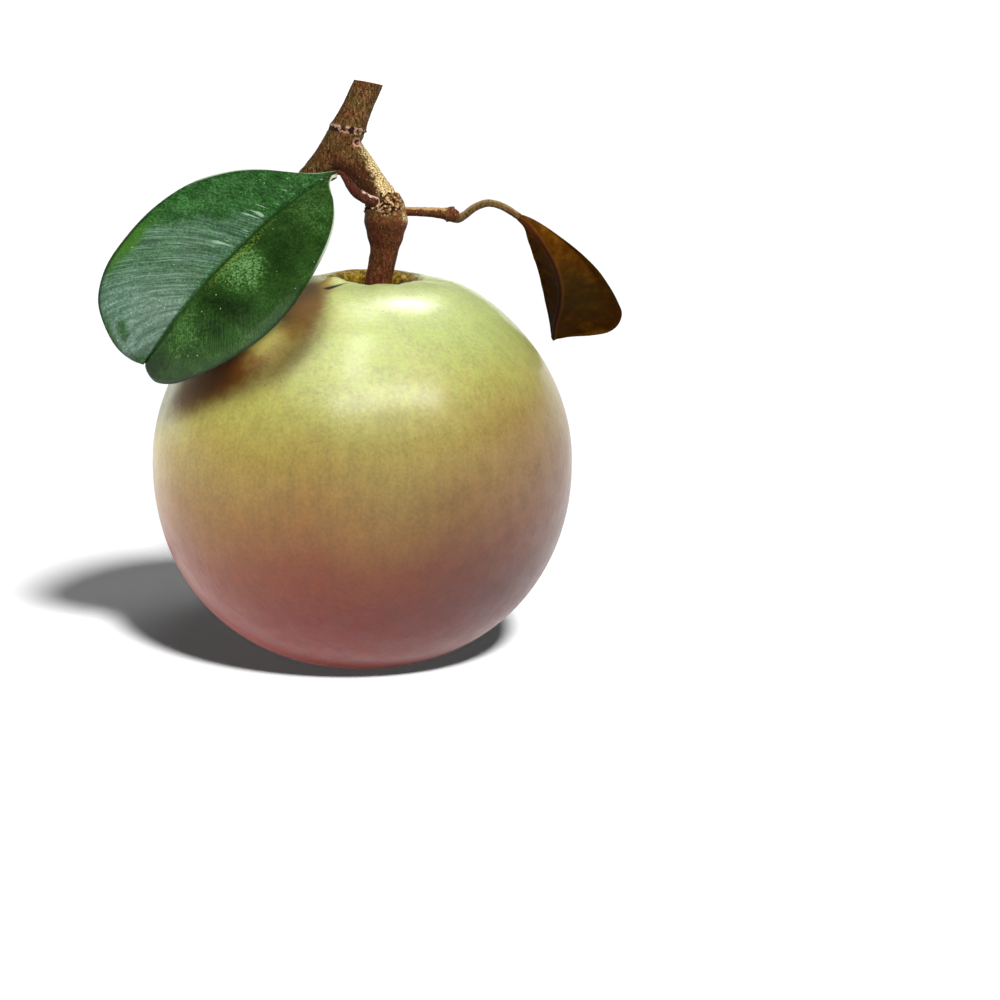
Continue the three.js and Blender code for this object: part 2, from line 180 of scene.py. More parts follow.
class Curve:
    """A centripetal Catmull-Rom curve through points, the CAD part's kind, measured by length."""

    STEPS = 60

    def __init__(self, rows):
        p = np.array([row[:3] for row in rows], float)
        self.values = np.array([row[3] if len(row) > 3 else 0.0 for row in rows])
        padded = np.vstack([2 * p[0] - p[1], p, 2 * p[-1] - p[-2]])
        pieces = [self._piece(padded[i : i + 4]) for i in range(len(p) - 1)]
        self.dense = np.vstack(pieces + [p[-1:]])
        self.lengths = path_lengths(self.dense)
        self.length = self.lengths[-1]

    def _piece(self, p):
        gaps = np.maximum(np.linalg.norm(np.diff(p, axis=0), axis=1) ** 0.5, 1e-4)
        start = slope(*p[:3], gaps[0], gaps[1]) * gaps[1]
        end = slope(*p[1:], gaps[1], gaps[2]) * gaps[1]
        t = np.linspace(0, 1, self.STEPS, endpoint=False)[:, None]
        return (
            (2 * t**3 - 3 * t**2 + 1) * p[1]
            + (t**3 - 2 * t**2 + t) * start
            + (-2 * t**3 + 3 * t**2) * p[2]
            + (t**3 - t**2) * end
        )

    def at(self, share):
        """Points at these shares of the curve's length."""
        where = np.asarray(share) * self.length
        return stack(*(np.interp(where, self.lengths, self.dense[:, k]) for k in range(3)))

    def tangent(self, share):
        ahead = self.at(np.clip(np.asarray(share) + 0.004, 0, 1))
        behind = self.at(np.clip(np.asarray(share) - 0.004, 0, 1))
        return unit(ahead - behind)

    def value(self, share):
        """The rows' fourth number at these shares, smoothed between the rows."""
        steps = np.arange(len(self.dense)) / self.STEPS
        along = np.interp(np.asarray(share) * self.length, self.lengths, steps)
        before = np.clip(along.astype(int), 0, len(self.values) - 2)
        t = smoothstep(0, 1, along - before) * 0.5 + (along - before) * 0.5
        return lerp(self.values[before], self.values[before + 1], t)


def unit(v):
    return v / np.maximum(np.linalg.norm(v, axis=-1, keepdims=True), 1e-9)


def stack(*parts):
    """Coordinates, stretched to one shape, along a last axis."""
    return np.stack(np.broadcast_arrays(*parts), -1)


def turns(count):
    """Evenly spaced angles round a circle."""
    return np.arange(count) / count * 2 * math.pi


def perlin(points, seed=0.0):
    """Smooth noise from -1 to 1 at an array of points."""
    flat = np.asarray(points, float).reshape(-1, 3) + 17.3 * seed
    values = [noise.noise(Vector(p)) for p in flat]
    return np.array(values).reshape(np.asarray(points).shape[:-1])


def fractal(points, octaves=3, seed=0.0):
    total = sum(perlin(np.asarray(points) * 2**k, seed + k) / 2**k for k in range(octaves))
    return total / (2 - 2.0 ** (1 - octaves))


def grid_faces(rows, columns, wrap=False):
    """Quads of a grid of rows x columns points, whose columns may close into rings."""
    across = columns if wrap else columns - 1
    r, c = np.meshgrid(np.arange(rows - 1), np.arange(across), indexing="ij")
    a = r * columns + c
    b = r * columns + (c + 1) % columns
    return np.stack([a, b, b + columns, a + columns], -1).reshape(-1, 4)


class Build:
    """Collects grids of points in millimetres and makes them into one object in metres."""

    def __init__(self):
        self.points = []
        self.faces = []
        self.slots = []
        self.uvs = []
        self.count = 0

    def grid(self, points, wrap=False, slot=0, uv=None, flip=False):
        rows, columns = points.shape[:2]
        faces = grid_faces(rows, columns, wrap) + self.count
        if flip:
            faces = faces[:, ::-1]
        self.points.append(points.reshape(-1, 3))
        self.faces.append(faces)
        self.slots.append(np.full(len(faces), slot))
        self.uvs.append(np.zeros((rows * columns, 2)) if uv is None else uv.reshape(-1, 2))
        self.count += rows * columns
        return self

    def limb(self, points, ends=(0, -1), rings=7, dome=0.0, slot=0, cap_slot=0, uv=None):
        """A limb and the caps over its first end (0) and its last (-1)."""
        self.grid(points, wrap=True, slot=slot, uv=uv)
        for end in ends:
            inner = 4 if end == 0 else -5
            outwards = unit(points[end].mean(0) - points[inner].mean(0))
            cap = end_cap(points[end], outwards, rings, dome)
            self.grid(cap, wrap=True, slot=cap_slot, flip=end == 0)
        return self

    def make(self, name, materials, node, slot):
        points = np.vstack(self.points) * MM
        faces = np.vstack(self.faces)
        mesh = bpy.data.meshes.new(name)
        mesh.vertices.add(len(points))
        mesh.vertices.foreach_set("co", points.astype(np.float32).ravel())
        mesh.loops.add(faces.size)
        mesh.loops.foreach_set("vertex_index", faces.astype(np.int32).ravel())
        mesh.polygons.add(len(faces))
        mesh.polygons.foreach_set("loop_start", np.arange(0, faces.size, 4, dtype=np.int32))
        mesh.polygons.foreach_set("material_index", np.concatenate(self.slots).astype(np.int32))
        mesh.polygons.foreach_set("use_smooth", np.ones(len(faces), bool))
        layer = mesh.uv_layers.new(name="UVMap")
        layer.data.foreach_set("uv", np.vstack(self.uvs)[faces.ravel()].astype(np.float32).ravel())
        mesh.update(calc_edges=True)
        mesh.validate()
        for material in materials:
            mesh.materials.append(material)
        piece = bpy.data.objects.new(name, mesh)
        bpy.context.scene.collection.objects.link(piece)
        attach(piece, "root")
        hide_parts(node)
        return piece


# ---- Material building ----


def joined_by(operation):
    """A method that joins an output and another value in a Math node."""

    def join(self, other=0.0):
        return self.look.math(operation, self, other)

    return join


class Out:
    """A node's output. Arithmetic with it adds Math nodes."""

    __add__ = joined_by("ADD")
    __sub__ = joined_by("SUBTRACT")
    __mul__ = joined_by("MULTIPLY")
    __truediv__ = joined_by("DIVIDE")
    __pow__ = joined_by("POWER")
    __abs__ = joined_by("ABSOLUTE")

    def __init__(self, look, socket):
        self.look = look
        self.socket = socket

    def __rsub__(self, other):
        return self.look.math("SUBTRACT", other, self)

    def tint(self, mask, red, green, blue):
        """This colour, with one in screen values over it where the mask is 1."""
        return self.look.mix(mask, self, srgb(red, green, blue))


class Look:
    """A Principled material whose inputs are numbers, colours or other nodes' outputs."""

    def __init__(self, name, **inputs):
        self.material = bpy.data.materials.new(name)
        self.material.use_nodes = True
        self.tree = self.material.node_tree
        self.tree.nodes.clear()
        self.shader = self.add("ShaderNodeBsdfPrincipled", **inputs)
        self.add("ShaderNodeOutputMaterial", Out(self, self.shader.outputs[0]))
        coordinates = self.add("ShaderNodeTexCoord")
        self.object = Out(self, coordinates.outputs["Object"])
        self.uv = Out(self, coordinates.outputs["UV"])

    def put(self, socket, value):
        if isinstance(value, Out):
            self.tree.links.new(value.socket, socket)
        elif hasattr(value, "__len__") and len(value) == 3 and socket.type == "RGBA":
            socket.default_value = (*value, 1)
        else:
            socket.default_value = value

    def add(self, kind, *values, props=(), **inputs):
        """A new node, with values for its first inputs and for the inputs of these names."""
        node = self.tree.nodes.new(kind)
        for key, value in dict(props).items():
            setattr(node, key, value)
        for socket, value in zip(node.inputs, values):
            self.put(socket, value)
        for key, value in inputs.items():
            self.put(node.inputs[key.replace("_", " ")], value)
        return node

    def result(self, output, kind, *values, **options):
        """One output of a new node."""
        return Out(self, self.add(kind, *values, **options).outputs[output])

    def set(self, **inputs):
        for key, value in inputs.items():
            self.put(self.shader.inputs[key.replace("_", " ")], value)
        return self.material

    def math(self, operation, a, b=0.0):
        return self.result(0, "ShaderNodeMath", a, b, props={"operation": operation})

    def vector(self, operation, a, b):
        """A Vector Math node: a product or a distance is a number, anything else a vector."""
        output = "Value" if operation in ("DOT_PRODUCT", "DISTANCE") else "Vector"
        return self.result(output, "ShaderNodeVectorMath", a, b, props={"operation": operation})

    def noise(self, scale, detail=2.0, rough=0.5, vector=None):
        inputs = {"Scale": scale, "Detail": detail, "Roughness": rough, "Vector": vector or self.object}
        return self.result("Fac", "ShaderNodeTexNoise", **inputs)

    def ragged(self, size, *grain):
        """Noise of this size to both sides of 0."""
        return (self.noise(*grain) - 0.5) * size

    def cells(self, scale, output="Distance"):
        return self.result(output, "ShaderNodeTexVoronoi", Scale=scale, Vector=self.object)

    def tones(self, scale):
        """Three random numbers for each cell."""
        return self.xyz(self.cells(scale, "Color"))

    def span(self, value, low, high, to_low=0.0, to_high=1.0):
        """Goes smoothly from to_low to to_high as the value goes from low to high."""
        smooth = {"interpolation_type": "SMOOTHSTEP"}
        return self.result(0, "ShaderNodeMapRange", value, low, high, to_low, to_high, props=smooth)

    def ramp(self, value, stops):
        """A colour ramp through rows of a place and a colour in screen values."""
        node = self.add("ShaderNodeValToRGB", value)
        elements = node.color_ramp.elements
        while len(elements) < len(stops):
            elements.new(0.5)
        for element, (place, *colour) in zip(elements, stops):
            element.position = place
            element.color = (*srgb(*colour), 1)
        return Out(self, node.outputs["Color"])

    def mix(self, mask, a, b, blend="MIX"):
        node = self.add("ShaderNodeMix", mask, props={"data_type": "RGBA", "blend_type": blend})
        self.put(node.inputs[6], a)
        self.put(node.inputs[7], b)
        return Out(self, node.outputs[2])

    def bump(self, height, distance, strength=1.0, normal=None):
        below = {} if normal is None else {"Normal": normal}
        inputs = {"Height": height, "Distance": distance, "Strength": strength, **below}
        return self.result("Normal", "ShaderNodeBump", **inputs)

    def xyz(self, vector):
        return [Out(self, socket) for socket in self.add("ShaderNodeSeparateXYZ", vector).outputs]

    def combine(self, x, y, z=0.0):
        return self.result(0, "ShaderNodeCombineXYZ", x, y, z)


def linear(screen):
    return screen / 12.92 if screen <= 0.04045 else ((screen + 0.055) / 1.055) ** 2.4


def srgb(red, green, blue):
    """A colour from 0-255 screen values to linear light."""
    return tuple(linear(value / 255) for value in (red, green, blue))


def spread_stops(middle, spread, tones):
    """Ramp stops for three tones, dark, middle and light, spread evenly about a place."""
    return [(place, *tone) for place, tone in zip((middle - spread, middle, middle + spread), tones)]


# ---- Fruit ----

FRUIT_ROWS = 210
FRUIT_COLUMNS = 320
AXIS_RADIUS = 0.05
BACK_RISE = 0.75
CORK_RADIUS = 8.2
CORK_SHIFT = 1.6
# Where a dark line is painted as shade in the near lip's crease: its middle and its angle
CRACK_SHADE_MIDDLE = (-4.4, -11.4)
CRACK_SHADE_ANGLE = 36
# Painted shade: warm brown patches on the skin where the left leaf's shadow falls, each with centre,
# direction, length and width, strength and colour
LEAF_SHADE_PATCHES = [
    ((-10.0, -15.0, 71.0), (-0.19, -0.90, -0.38), (14.0, 5.0), 0.7, (128, 76, 16)),
    ((-28.3, -22.0, 57.6), (-0.70, 0.57, -0.43), (16.0, 6.0), 0.95, (114, 74, 6)),
]
# Where the lip swells beside the crease whose shade is painted as a dark line
LIP_FOLD = (-7.3, -8.8)
LIP_FOLD_HEIGHT = 1.3
# Skin colours in screen values, from the foot (0) to the crest (1)
SKIN_TONES = [
    (0.00, 100, 24, 18), (0.16, 99, 26, 16), (0.32, 106, 50, 21), (0.47, 124, 92, 41),
    (0.60, 142, 124, 59), (0.72, 153, 150, 75), (0.86, 155, 164, 95), (1.00, 168, 178, 111),
]
# Angle round the lip, width in degrees and depth
LIP_CREASES = [(-138, 5, 0.9), (-96, 3, 0.5), (-60, 4, 0.3), (40, 5, 0.6), (112, 4, 0.5), (170, 5, 0.6)]


def path_lengths(points):
    return np.r_[0, np.cumsum(np.linalg.norm(np.diff(points, axis=0), axis=1))]


def fruit_outline():
    """Radius and height from the middle of the foot, round the equator, to the hollow's floor."""
    foot_share = (FOOT_RADIUS / FRUIT_RADIUS) ** LOWER_FULLNESS
    lower_height = EQUATOR_HEIGHT / (1 - foot_share) ** (1 / LOWER_FULLNESS)
    angle = np.linspace(math.acos(math.sqrt(foot_share)), 0, 90)
    lower = np.c_[
        FRUIT_RADIUS * np.cos(angle) ** (2 / LOWER_FULLNESS),
        EQUATOR_HEIGHT - lower_height * np.sin(angle) ** (2 / LOWER_FULLNESS),
    ]
    angle = np.linspace(0, math.pi / 2, 100)[1:]
    upper = np.c_[
        CREST_RADIUS + (FRUIT_RADIUS - CREST_RADIUS) * np.cos(angle) ** (2 / UPPER_FULLNESS),
        EQUATOR_HEIGHT + (FRUIT_HEIGHT - EQUATOR_HEIGHT) * np.sin(angle) ** (2 / UPPER_FULLNESS),
    ]
    t = np.linspace(0, 1, 40)[1:]
    hollow = np.c_[
        lerp(CREST_RADIUS, HOLLOW_FLOOR_RADIUS, t),
        FRUIT_HEIGHT - HOLLOW_DEPTH * (1 - np.cos(math.pi * t)) / 2,
    ]
    foot = np.c_[np.linspace(0, FOOT_RADIUS, 12)[:-1], np.zeros(11)]
    floor_radius = np.linspace(HOLLOW_FLOOR_RADIUS, AXIS_RADIUS, 10)[1:]
    floor = np.c_[floor_radius, np.full(9, FRUIT_HEIGHT - HOLLOW_DEPTH)]
    outline = np.vstack([foot, lower, upper, hollow, floor])
    outline[0, 0] = AXIS_RADIUS
    lengths = path_lengths(outline)
    even = np.linspace(0, lengths[-1], FRUIT_ROWS)
    return np.c_[np.interp(even, lengths, outline[:, 0]), np.interp(even, lengths, outline[:, 1])]


def fruit_points():
    outline = fruit_outline()
    angle = turns(FRUIT_COLUMNS)
    radius = outline[:, 0][:, None] * np.ones_like(angle)
    height = outline[:, 1][:, None] * np.ones_like(angle)
    inside = np.arange(FRUIT_ROWS)[:, None] > np.argmax(outline[:, 1])
    x = radius * np.cos(angle)
    y = radius * np.sin(angle)
    around = stack(np.cos(angle), np.sin(angle), 0.0)

    # lobes, soft dents, and an uneven lip with shallow folds that run into the hollow
    body = np.sin(math.pi * np.clip(height, 0, FRUIT_HEIGHT) / FRUIT_HEIGHT)
    swell = 1 + LOBE_SWELL * np.cos(LOBE_COUNT * angle) * body
    dents = fractal(stack(x, y, height) / 24, 2, seed=3)
    swell = swell - 0.004 * np.clip(dents + 0.15, 0, 1) * body
    near_lip = bump_at(radius, CREST_RADIUS, 6.5) * (height > EQUATOR_HEIGHT)
    lip = fractal(around * 1.35, 2, seed=8)
    folds = fractal(around * 4.5, 2, seed=5)
    back = BACK_RISE * np.clip(np.sin(angle), 0, 1)
    height = height + near_lip * (0.75 * lip - 0.25 + back) + near_lip * 0.28 * folds
    for place, width, depth in LIP_CREASES:
        turned = np.degrees(angle) - place
        crease = bump_at((turned + 180) % 360 - 180, 0, width)
        height = height - depth * crease * bump_at(radius, CREST_RADIUS - 0.6, 2.2) * inside
    fold = bump_at(x, LIP_FOLD[0], 2.4) * bump_at(y, LIP_FOLD[1], 1.6) * (height > EQUATOR_HEIGHT)
    height = height + LIP_FOLD_HEIGHT * fold
    wall = bump_at(height, FRUIT_HEIGHT - HOLLOW_DEPTH / 2, 2.5) * inside
    swell = swell + wall * 0.06 * folds
    height = np.where(outline[:, 1][:, None] <= 0, 0, height)

    lean = 1 - smoothstep(CREST_RADIUS, LEAN_RADIUS, radius)
    shift = np.where(height > EQUATOR_HEIGHT, HOLLOW_SHIFT * lean, 0)
    return stack(x * swell + shift, y * swell, height)


def skin_tones(look, x, y, z):
    """The skin's colour by height, drifting from place to place, and browner low on the far side."""
    drift = look.noise(28, 2, 0.45) - 0.5
    patches = look.noise(75, 2, 0.5) - 0.5
    sunny = look.math("MAXIMUM", x, 0.0) * -2.8
    level = z / (FRUIT_HEIGHT * MM) + drift * 0.26 + sunny * look.span(z, 0.07, 0.05) + patches * 0.05
    behind = look.span(y, 0.0, 0.03) * look.span(z, 0.045, 0.015)
    return look.ramp(level, SKIN_TONES).tint(behind * 0.5, 118, 72, 52)


def fruit_look():
    """Waxy skin: lime green round the top, olive and tan below, dusky rose at the bottom."""
    sheen = {"Sheen_Weight": 0.1, "Sheen_Roughness": 0.4, "Sheen_Tint": (1.0, 0.9, 0.85)}
    depth = {"Subsurface_Weight": 0.1, "Subsurface_Scale": 0.004, "Subsurface_Radius": (1.0, 0.6, 0.3)}
    look = Look("fruit_skin", Coat_Roughness=0.21, **sheen, **depth)
    x, y, z = look.xyz(look.object)
    skin = skin_tones(look, x, y, z)

    # streaks that run from the stalk down, cloudy mottling and a fine grain
    streaks = look.noise(620, 4, 0.65, look.vector("MULTIPLY", look.object, (1.0, 1.0, 0.16)))
    clouds = look.noise(260, 3, 0.6)
    grain = look.noise(1500, 4, 0.7)
    tone = look.span(streaks, 0.3, 0.7, -0.07, 0.07) + 1.0
    tone = tone + look.span(clouds, 0.3, 0.7, -0.07, 0.07) + look.span(grain, 0.3, 0.7, -0.14, 0.14)
    skin = look.mix(1.0, skin, look.combine(tone, tone, tone), "MULTIPLY")
    green = look.span(streaks, 0.5, 0.62) * look.span(z, 0.046, 0.06)
    skin = skin.tint(green * 0.35, 146, 168, 70)

    # pinkish tan blotches on the sunny side
    sunny = look.span(x, 0.004, 0.03) * look.span(z, 0.016, 0.03)
    blotches = look.span(clouds, 0.3, 0.7) * look.span(z, 0.07, 0.055)
    skin = skin.tint(sunny * blotches * 0.22, 150, 112, 80)

    # lenticels: small brown dots, some of them missing
    dots = look.span(look.cells(420), 0.11, 0.05) * look.span(look.tones(420)[0], 0.62, 0.68)
    skin = skin.tint(dots * 0.45, 96, 74, 40)

    # painted shade in brown under the left leaf, cork in the hollow, the rim of its lip, and a dark line
    # painted as shade in its crease
    # the coat is dulled where shade is painted
    dull = 0.0
    for centre, way, size, most, colour in LEAF_SHADE_PATCHES:
        patch = long_patch(look, centre, way, size, most)
        skin = skin.tint(patch, *colour)
        dull = look.math("MAXIMUM", dull, patch)
    radius, high = hollow_radius(look, x, y, z)
    russet = look.span(radius, 0.0094, 0.0084) * high
    skin = look.mix(russet, skin, cork_colour(look))
    skin = skin.tint(look.span(abs(radius - 0.0095), 0.0, 0.0008, 0.65, 0.0) * high, 84, 52, 22)
    crack_shade = lip_crack_shade(look, x, y, high)
    skin = skin.tint(crack_shade, 30, 16, 5)
    dull = look.math("MAXIMUM", dull, crack_shade)

    roughness = look.span(look.noise(240, 3, 0.6), 0.3, 0.7, 0.44, 0.54)
    roughness = look.math("MAXIMUM", roughness, russet * 0.85)
    coat = (1.0 - russet) * look.span(z, 0.004, 0.03, 0.12, 0.5) * (1.0 - dull)
    normal = look.bump(look.noise(1100, 3, 0.6), 0.00008, 0.6)
    normal = look.bump(streaks, 0.0001, 0.6, normal)
    normal = look.bump(dots, 0.00006, 0.4, normal)
    return look.set(Base_Color=skin, Roughness=roughness, Coat_Weight=coat, Normal=normal)


def long_patch(look, centre, way, size, most):
    """A long soft patch round a line through the centre."""
    off = look.vector("SUBTRACT", look.object, [c * MM for c in centre])
    along = abs(look.vector("DOT_PRODUCT", off, way)) ** 2.0
    aside = look.vector("DOT_PRODUCT", off, off) - along
    long, wide = (1 / (s * MM) ** 2 for s in size)
    reach = along * long + aside * wide
    return look.span(reach + look.ragged(1.2, 420, 4, 0.65), 0.2, 1.3, most, 0.0)


def hollow_radius(look, x, y, z):
    """Distance from the hollow's axis, made uneven, and 1 on the upper half of the fruit."""
    square = (x - HOLLOW_SHIFT * MM) ** 2.0 + (y - CORK_SHIFT * MM) ** 2.0
    radius = square**0.5 + look.ragged(0.0022, 420, 3, 0.6)
    return radius, look.math("GREATER_THAN", z, EQUATOR_HEIGHT * MM)


def lip_crack_shade(look, x, y, high):
    """A short dark line painted as shade in the crease of the near lip, on the left."""
    cos, sin = math.cos(math.radians(CRACK_SHADE_ANGLE)), math.sin(math.radians(CRACK_SHADE_ANGLE))
    x = x - CRACK_SHADE_MIDDLE[0] * MM
    y = y - CRACK_SHADE_MIDDLE[1] * MM
    along = x * cos + y * sin
    across = abs(x * -sin + y * cos)
    width = look.span(along, -0.0025, 0.0025, 0.0009, 0.0002)
    inside = look.span(across - width, 0.0001, -0.0003)
    return inside * (high * look.span(abs(along), 0.0028, 0.0024))


def cork_colour(look):
    return look.ramp(look.noise(1100, 4, 0.7), [(0.36, 60, 44, 6), (0.5, 103, 81, 18), (0.64, 152, 127, 44)])


def hollow_look():
    """Rough golden-brown cork inside the hollow."""
    look = Look("hollow_cork", Specular_IOR_Level=0.08)
    normal = look.bump(look.noise(1300, 4, 0.7), 0.0005, 0.9)
    return look.set(Base_Color=cork_colour(look), Roughness=0.9, Normal=normal)


def make_fruit():
    outline = fruit_outline()
    inside = np.arange(FRUIT_ROWS) > np.argmax(outline[:, 1])
    corky = (inside & (outline[:, 0] < CORK_RADIUS))[:-1]
    build = Build().grid(fruit_points(), wrap=True, slot=np.repeat(corky, FRUIT_COLUMNS).astype(int))
    skin = build.make("fruit_skin", [fruit_look(), hollow_look()], "fruit", "fruit_skin")
    skin.visible_diffuse = False


# ---- Limbs ----

# The ring scar's height and its fall to the right, the round scar, and the upper side of the spur
# and of the leaf stalks, where a highlight is painted, as an angle round them
RING_HEIGHT = 101.0
RING_LEAN = 0.14
ROUND_SCAR = (-0.55, 0.8, 98.9)
SPUR_TOP = 0.35
JOINT_SPOT = (5.2, -3.2, 87.3)
JOINT_STRETCH = (0.6, 0.4, 1.0)
LEANING_WOBBLE = 4.8


def limb_frame(curve, share):
    """Points on a limb's axis, and two directions square to it."""
    tangent = curve.tangent(share)
    side = unit(np.cross(tangent, (0.0, 1.0, 0.0)))
    return curve.at(share), side, np.cross(tangent, side)


def limb_points(rows, relief, rings, sides, start=0.0, end=1.0):
    """A limb's surface. relief gives the extra radius at each place along and angle round."""
    curve = Curve(rows)
    share = np.linspace(start, end, rings)
    middle, side, other = limb_frame(curve, share)
    along, angle = np.broadcast_arrays((share * curve.length)[:, None], turns(sides))
    radius = curve.value(share)[:, None] + relief(along, angle)
    out = side[:, None] * np.cos(angle)[..., None] + other[:, None] * np.sin(angle)[..., None]
    return middle[:, None] + out * radius[..., None]


def limb_uv(points, facing):
    """UVs of a limb: the share of its rings, and 1 on the side at this angle, 0 on the other."""
    rings, sides = points.shape[:2]
    return stack(np.linspace(0, 1, rings)[:, None], 0.5 + 0.5 * np.cos(turns(sides) - facing))


def end_cap(ring, outwards, rings, dome):
    """A cut end: rings of points from a limb's last ring to its middle."""
    share = np.linspace(0, 1, rings)[:, None, None] * 0.995
    return lerp(ring, ring.mean(0), share) + dome * (1 - (1 - share) ** 2) * outwards


def bark_relief(seed, wrinkle=0.07, lump=0.12, scars=()):
    """Wrinkles along the limb, lumps, and rings where leaves fell: (place, width, height, tilt)."""

    def relief(along, angle):
        cos, sin = np.cos(angle), np.sin(angle)
        circle = stack(cos, sin, 0.0)
        ridges = 1 - 2 * np.abs(fractal(stack(cos * 4.2, sin * 4.2, along * 0.32), 2, seed))
        lumps = fractal(stack(cos * 1.1, sin * 1.1, along * 0.45), 2, seed + 4)
        grit = perlin(stack(cos * 9, sin * 9, along * 3.5), seed + 9)
        total = wrinkle * ridges + lump * lumps + 0.035 * grit
        for place, width, height, tilt in scars:
            waver = 0.35 * perlin(circle * 1.2 + place, seed + 2) + tilt * cos
            rough = 1 + 0.9 * perlin(circle * 5 + place, seed + 6)
            total = total + height * bump_at(along + waver, place, width) * rough
        return total

    return relief


def bark_look(name, tones, contrast, olive, marks):
    """Thin bark: fine ridges along the limb, olive bloom, pale lenticels and dark pits."""
    look = Look(name, Specular_IOR_Level=0.2)
    ridges = look.noise(2500, 3, 0.7, look.vector("MULTIPLY", look.object, (1.0, 1.0, 0.35)))
    tone = ridges * 0.6 + look.noise(4200, 2, 0.6) * 0.4
    bark = look.ramp(tone, spread_stops(0.5, 0.11 / contrast, tones))
    bark = bark.tint(look.span(look.noise(260, 3, 0.6), 0.44, 0.6) * olive, 70, 66, 26)
    bark = bark.tint(look.span(look.noise(150, 3, 0.6), 0.48, 0.62) * 0.4, 84, 38, 24)
    bark = marks(look, bark)
    dots = look.span(look.cells(1500), 0.28, 0.14)
    kept = look.tones(1500)[0]
    pale = dots * look.span(kept, 0.72, 0.76)
    pits = dots * look.span(kept, 0.34, 0.30)
    bark = bark.tint(pale * 0.55, 160, 130, 96).tint(pits * 0.85, 22, 10, 6)
    normal = look.bump(tone + pale * 0.4 - pits * 0.5, 0.0004, 1.0)
    return look.set(Base_Color=bark, Roughness=look.span(tone, 0.3, 0.7, 0.85, 0.6), Normal=normal)


def leaning(look, lean, low, high):
    """Rises from 0 to 1 where x + lean z passes from low to high millimetres, crumbling to specks."""
    x, _, z = look.xyz(look.object)
    ragged = look.ragged(LEANING_WOBBLE * MM, 1500, 3, 0.7)
    return look.span(x + z * lean + ragged, low * MM, high * MM)


def pale_cork(look, bark, mask):
    """Cream cork with dark specks."""
    stops = [(0.40, 64, 42, 18), (0.50, 166, 140, 86), (0.64, 226, 212, 172)]
    return look.mix(mask, bark, look.ramp(look.noise(3900, 3, 0.7), stops))


def branch_marks(look, bark):
    """Red-brown shoot darkened partly as painted shade, with a pale flank, the ring where the branch's bud
    scales fell, a round scar.
    """
    x, _, z = look.xyz(look.object)
    # the shoot below the fork: its own red-brown, darkened further as painted shade
    shoot = look.span(z, 0.0975, 0.0935) * leaning(look, 0.0, -6.6, -5.0)
    bark = bark.tint(shoot * 0.75, 54, 24, 12)
    flank = leaning(look, 0.39, 37.9, 39.3) * look.span(z, 0.0990, 0.0978)
    bark = joint_crumbs(look, pale_cork(look, bark, flank))
    near = look.span(abs(z + x * RING_LEAN - RING_HEIGHT * MM), 0.0009, 0.0004)
    spot = look.tones(1500)[1]
    bark = bark.tint(near * look.span(spot, 0.60, 0.66) * 0.8, 176, 140, 122)
    bark = bark.tint(near * look.span(spot, 0.42, 0.36) * 0.9, 20, 9, 6)
    off = look.vector("DISTANCE", look.object, [c * MM for c in ROUND_SCAR])
    bark = bark.tint(look.span(off, 0.0008, 0.0011, 0.8, 0.0), 168, 122, 108)
    return bark.tint(look.span(off, 0.0006, 0.0004), 14, 6, 5)


def knob_marks(look, bark):
    """Cream cork on the knob's sunny shoulder, and dull crumbs over the rest of its top."""
    z = look.xyz(look.object)[2]
    dull = look.span(z, 0.0835, 0.0862) * look.span(look.noise(1600, 3), 0.4, 0.6)
    bark = bark.tint(dull * 0.6, 112, 90, 44)
    shoulder = leaning(look, 0.0, 7.4, 9.0) * look.span(z, 0.0832, 0.0848)
    return joint_crumbs(look, pale_cork(look, bark, shoulder))


def joint_crumbs(look, bark):
    """Black pits and cream crumbs round the joint of the shoot and the stalk."""
    spot = [a * b * MM for a, b in zip(JOINT_SPOT, JOINT_STRETCH)]
    off = look.vector("DISTANCE", look.vector("MULTIPLY", look.object, JOINT_STRETCH), spot)
    near = look.span(off + look.ragged(0.0016, 900, 3), 0.0022, 0.0014)
    tone = look.tones(2500)[2]
    bark = bark.tint(near * look.span(tone, 0.42, 0.36) * 0.95, 14, 7, 5)
    return bark.tint(near * look.span(tone, 0.70, 0.76) * 0.6, 190, 156, 122)


def painted_highlight_edge(low, high, colour, strength, width=0.84):
    """Pale flecks painted as a highlight along the side that the limb's UVs mark, on this stretch of the
    limb.
    """

    def marks(look, bark):
        share, facing, _ = look.xyz(look.uv)
        edge = look.span(facing + look.ragged(0.3, 1300, 3), width, 0.98)
        edge = edge * look.span(share, low, low + 0.04) * look.span(share, high, high - 0.06)
        return bark.tint(edge * strength, *colour)

    return marks


def cut_look():
    """A cut end: pale wood with a fine grain."""
    look = Look("cut_wood", Specular_IOR_Level=0.2)
    grain = look.noise(2400, 3, 0.6)
    wood = look.ramp(grain, [(0.3, 96, 66, 42), (0.7, 150, 116, 78)])
    return look.set(Base_Color=wood, Roughness=0.8, Normal=look.bump(grain, 0.0001, 0.6))


def tilt_end(points, normal, rings):
    """Slants a limb's first rings so that its cut end lies across this direction."""
    normal = unit(np.array(normal))
    axis = unit(points[0].mean(0) - points[6].mean(0))
    for i in range(rings):
        gap = (points[i].mean(0) - points[i]) @ normal
        points[i] += axis * (gap / (axis @ normal) * (1 - i / rings))[:, None]
    return points


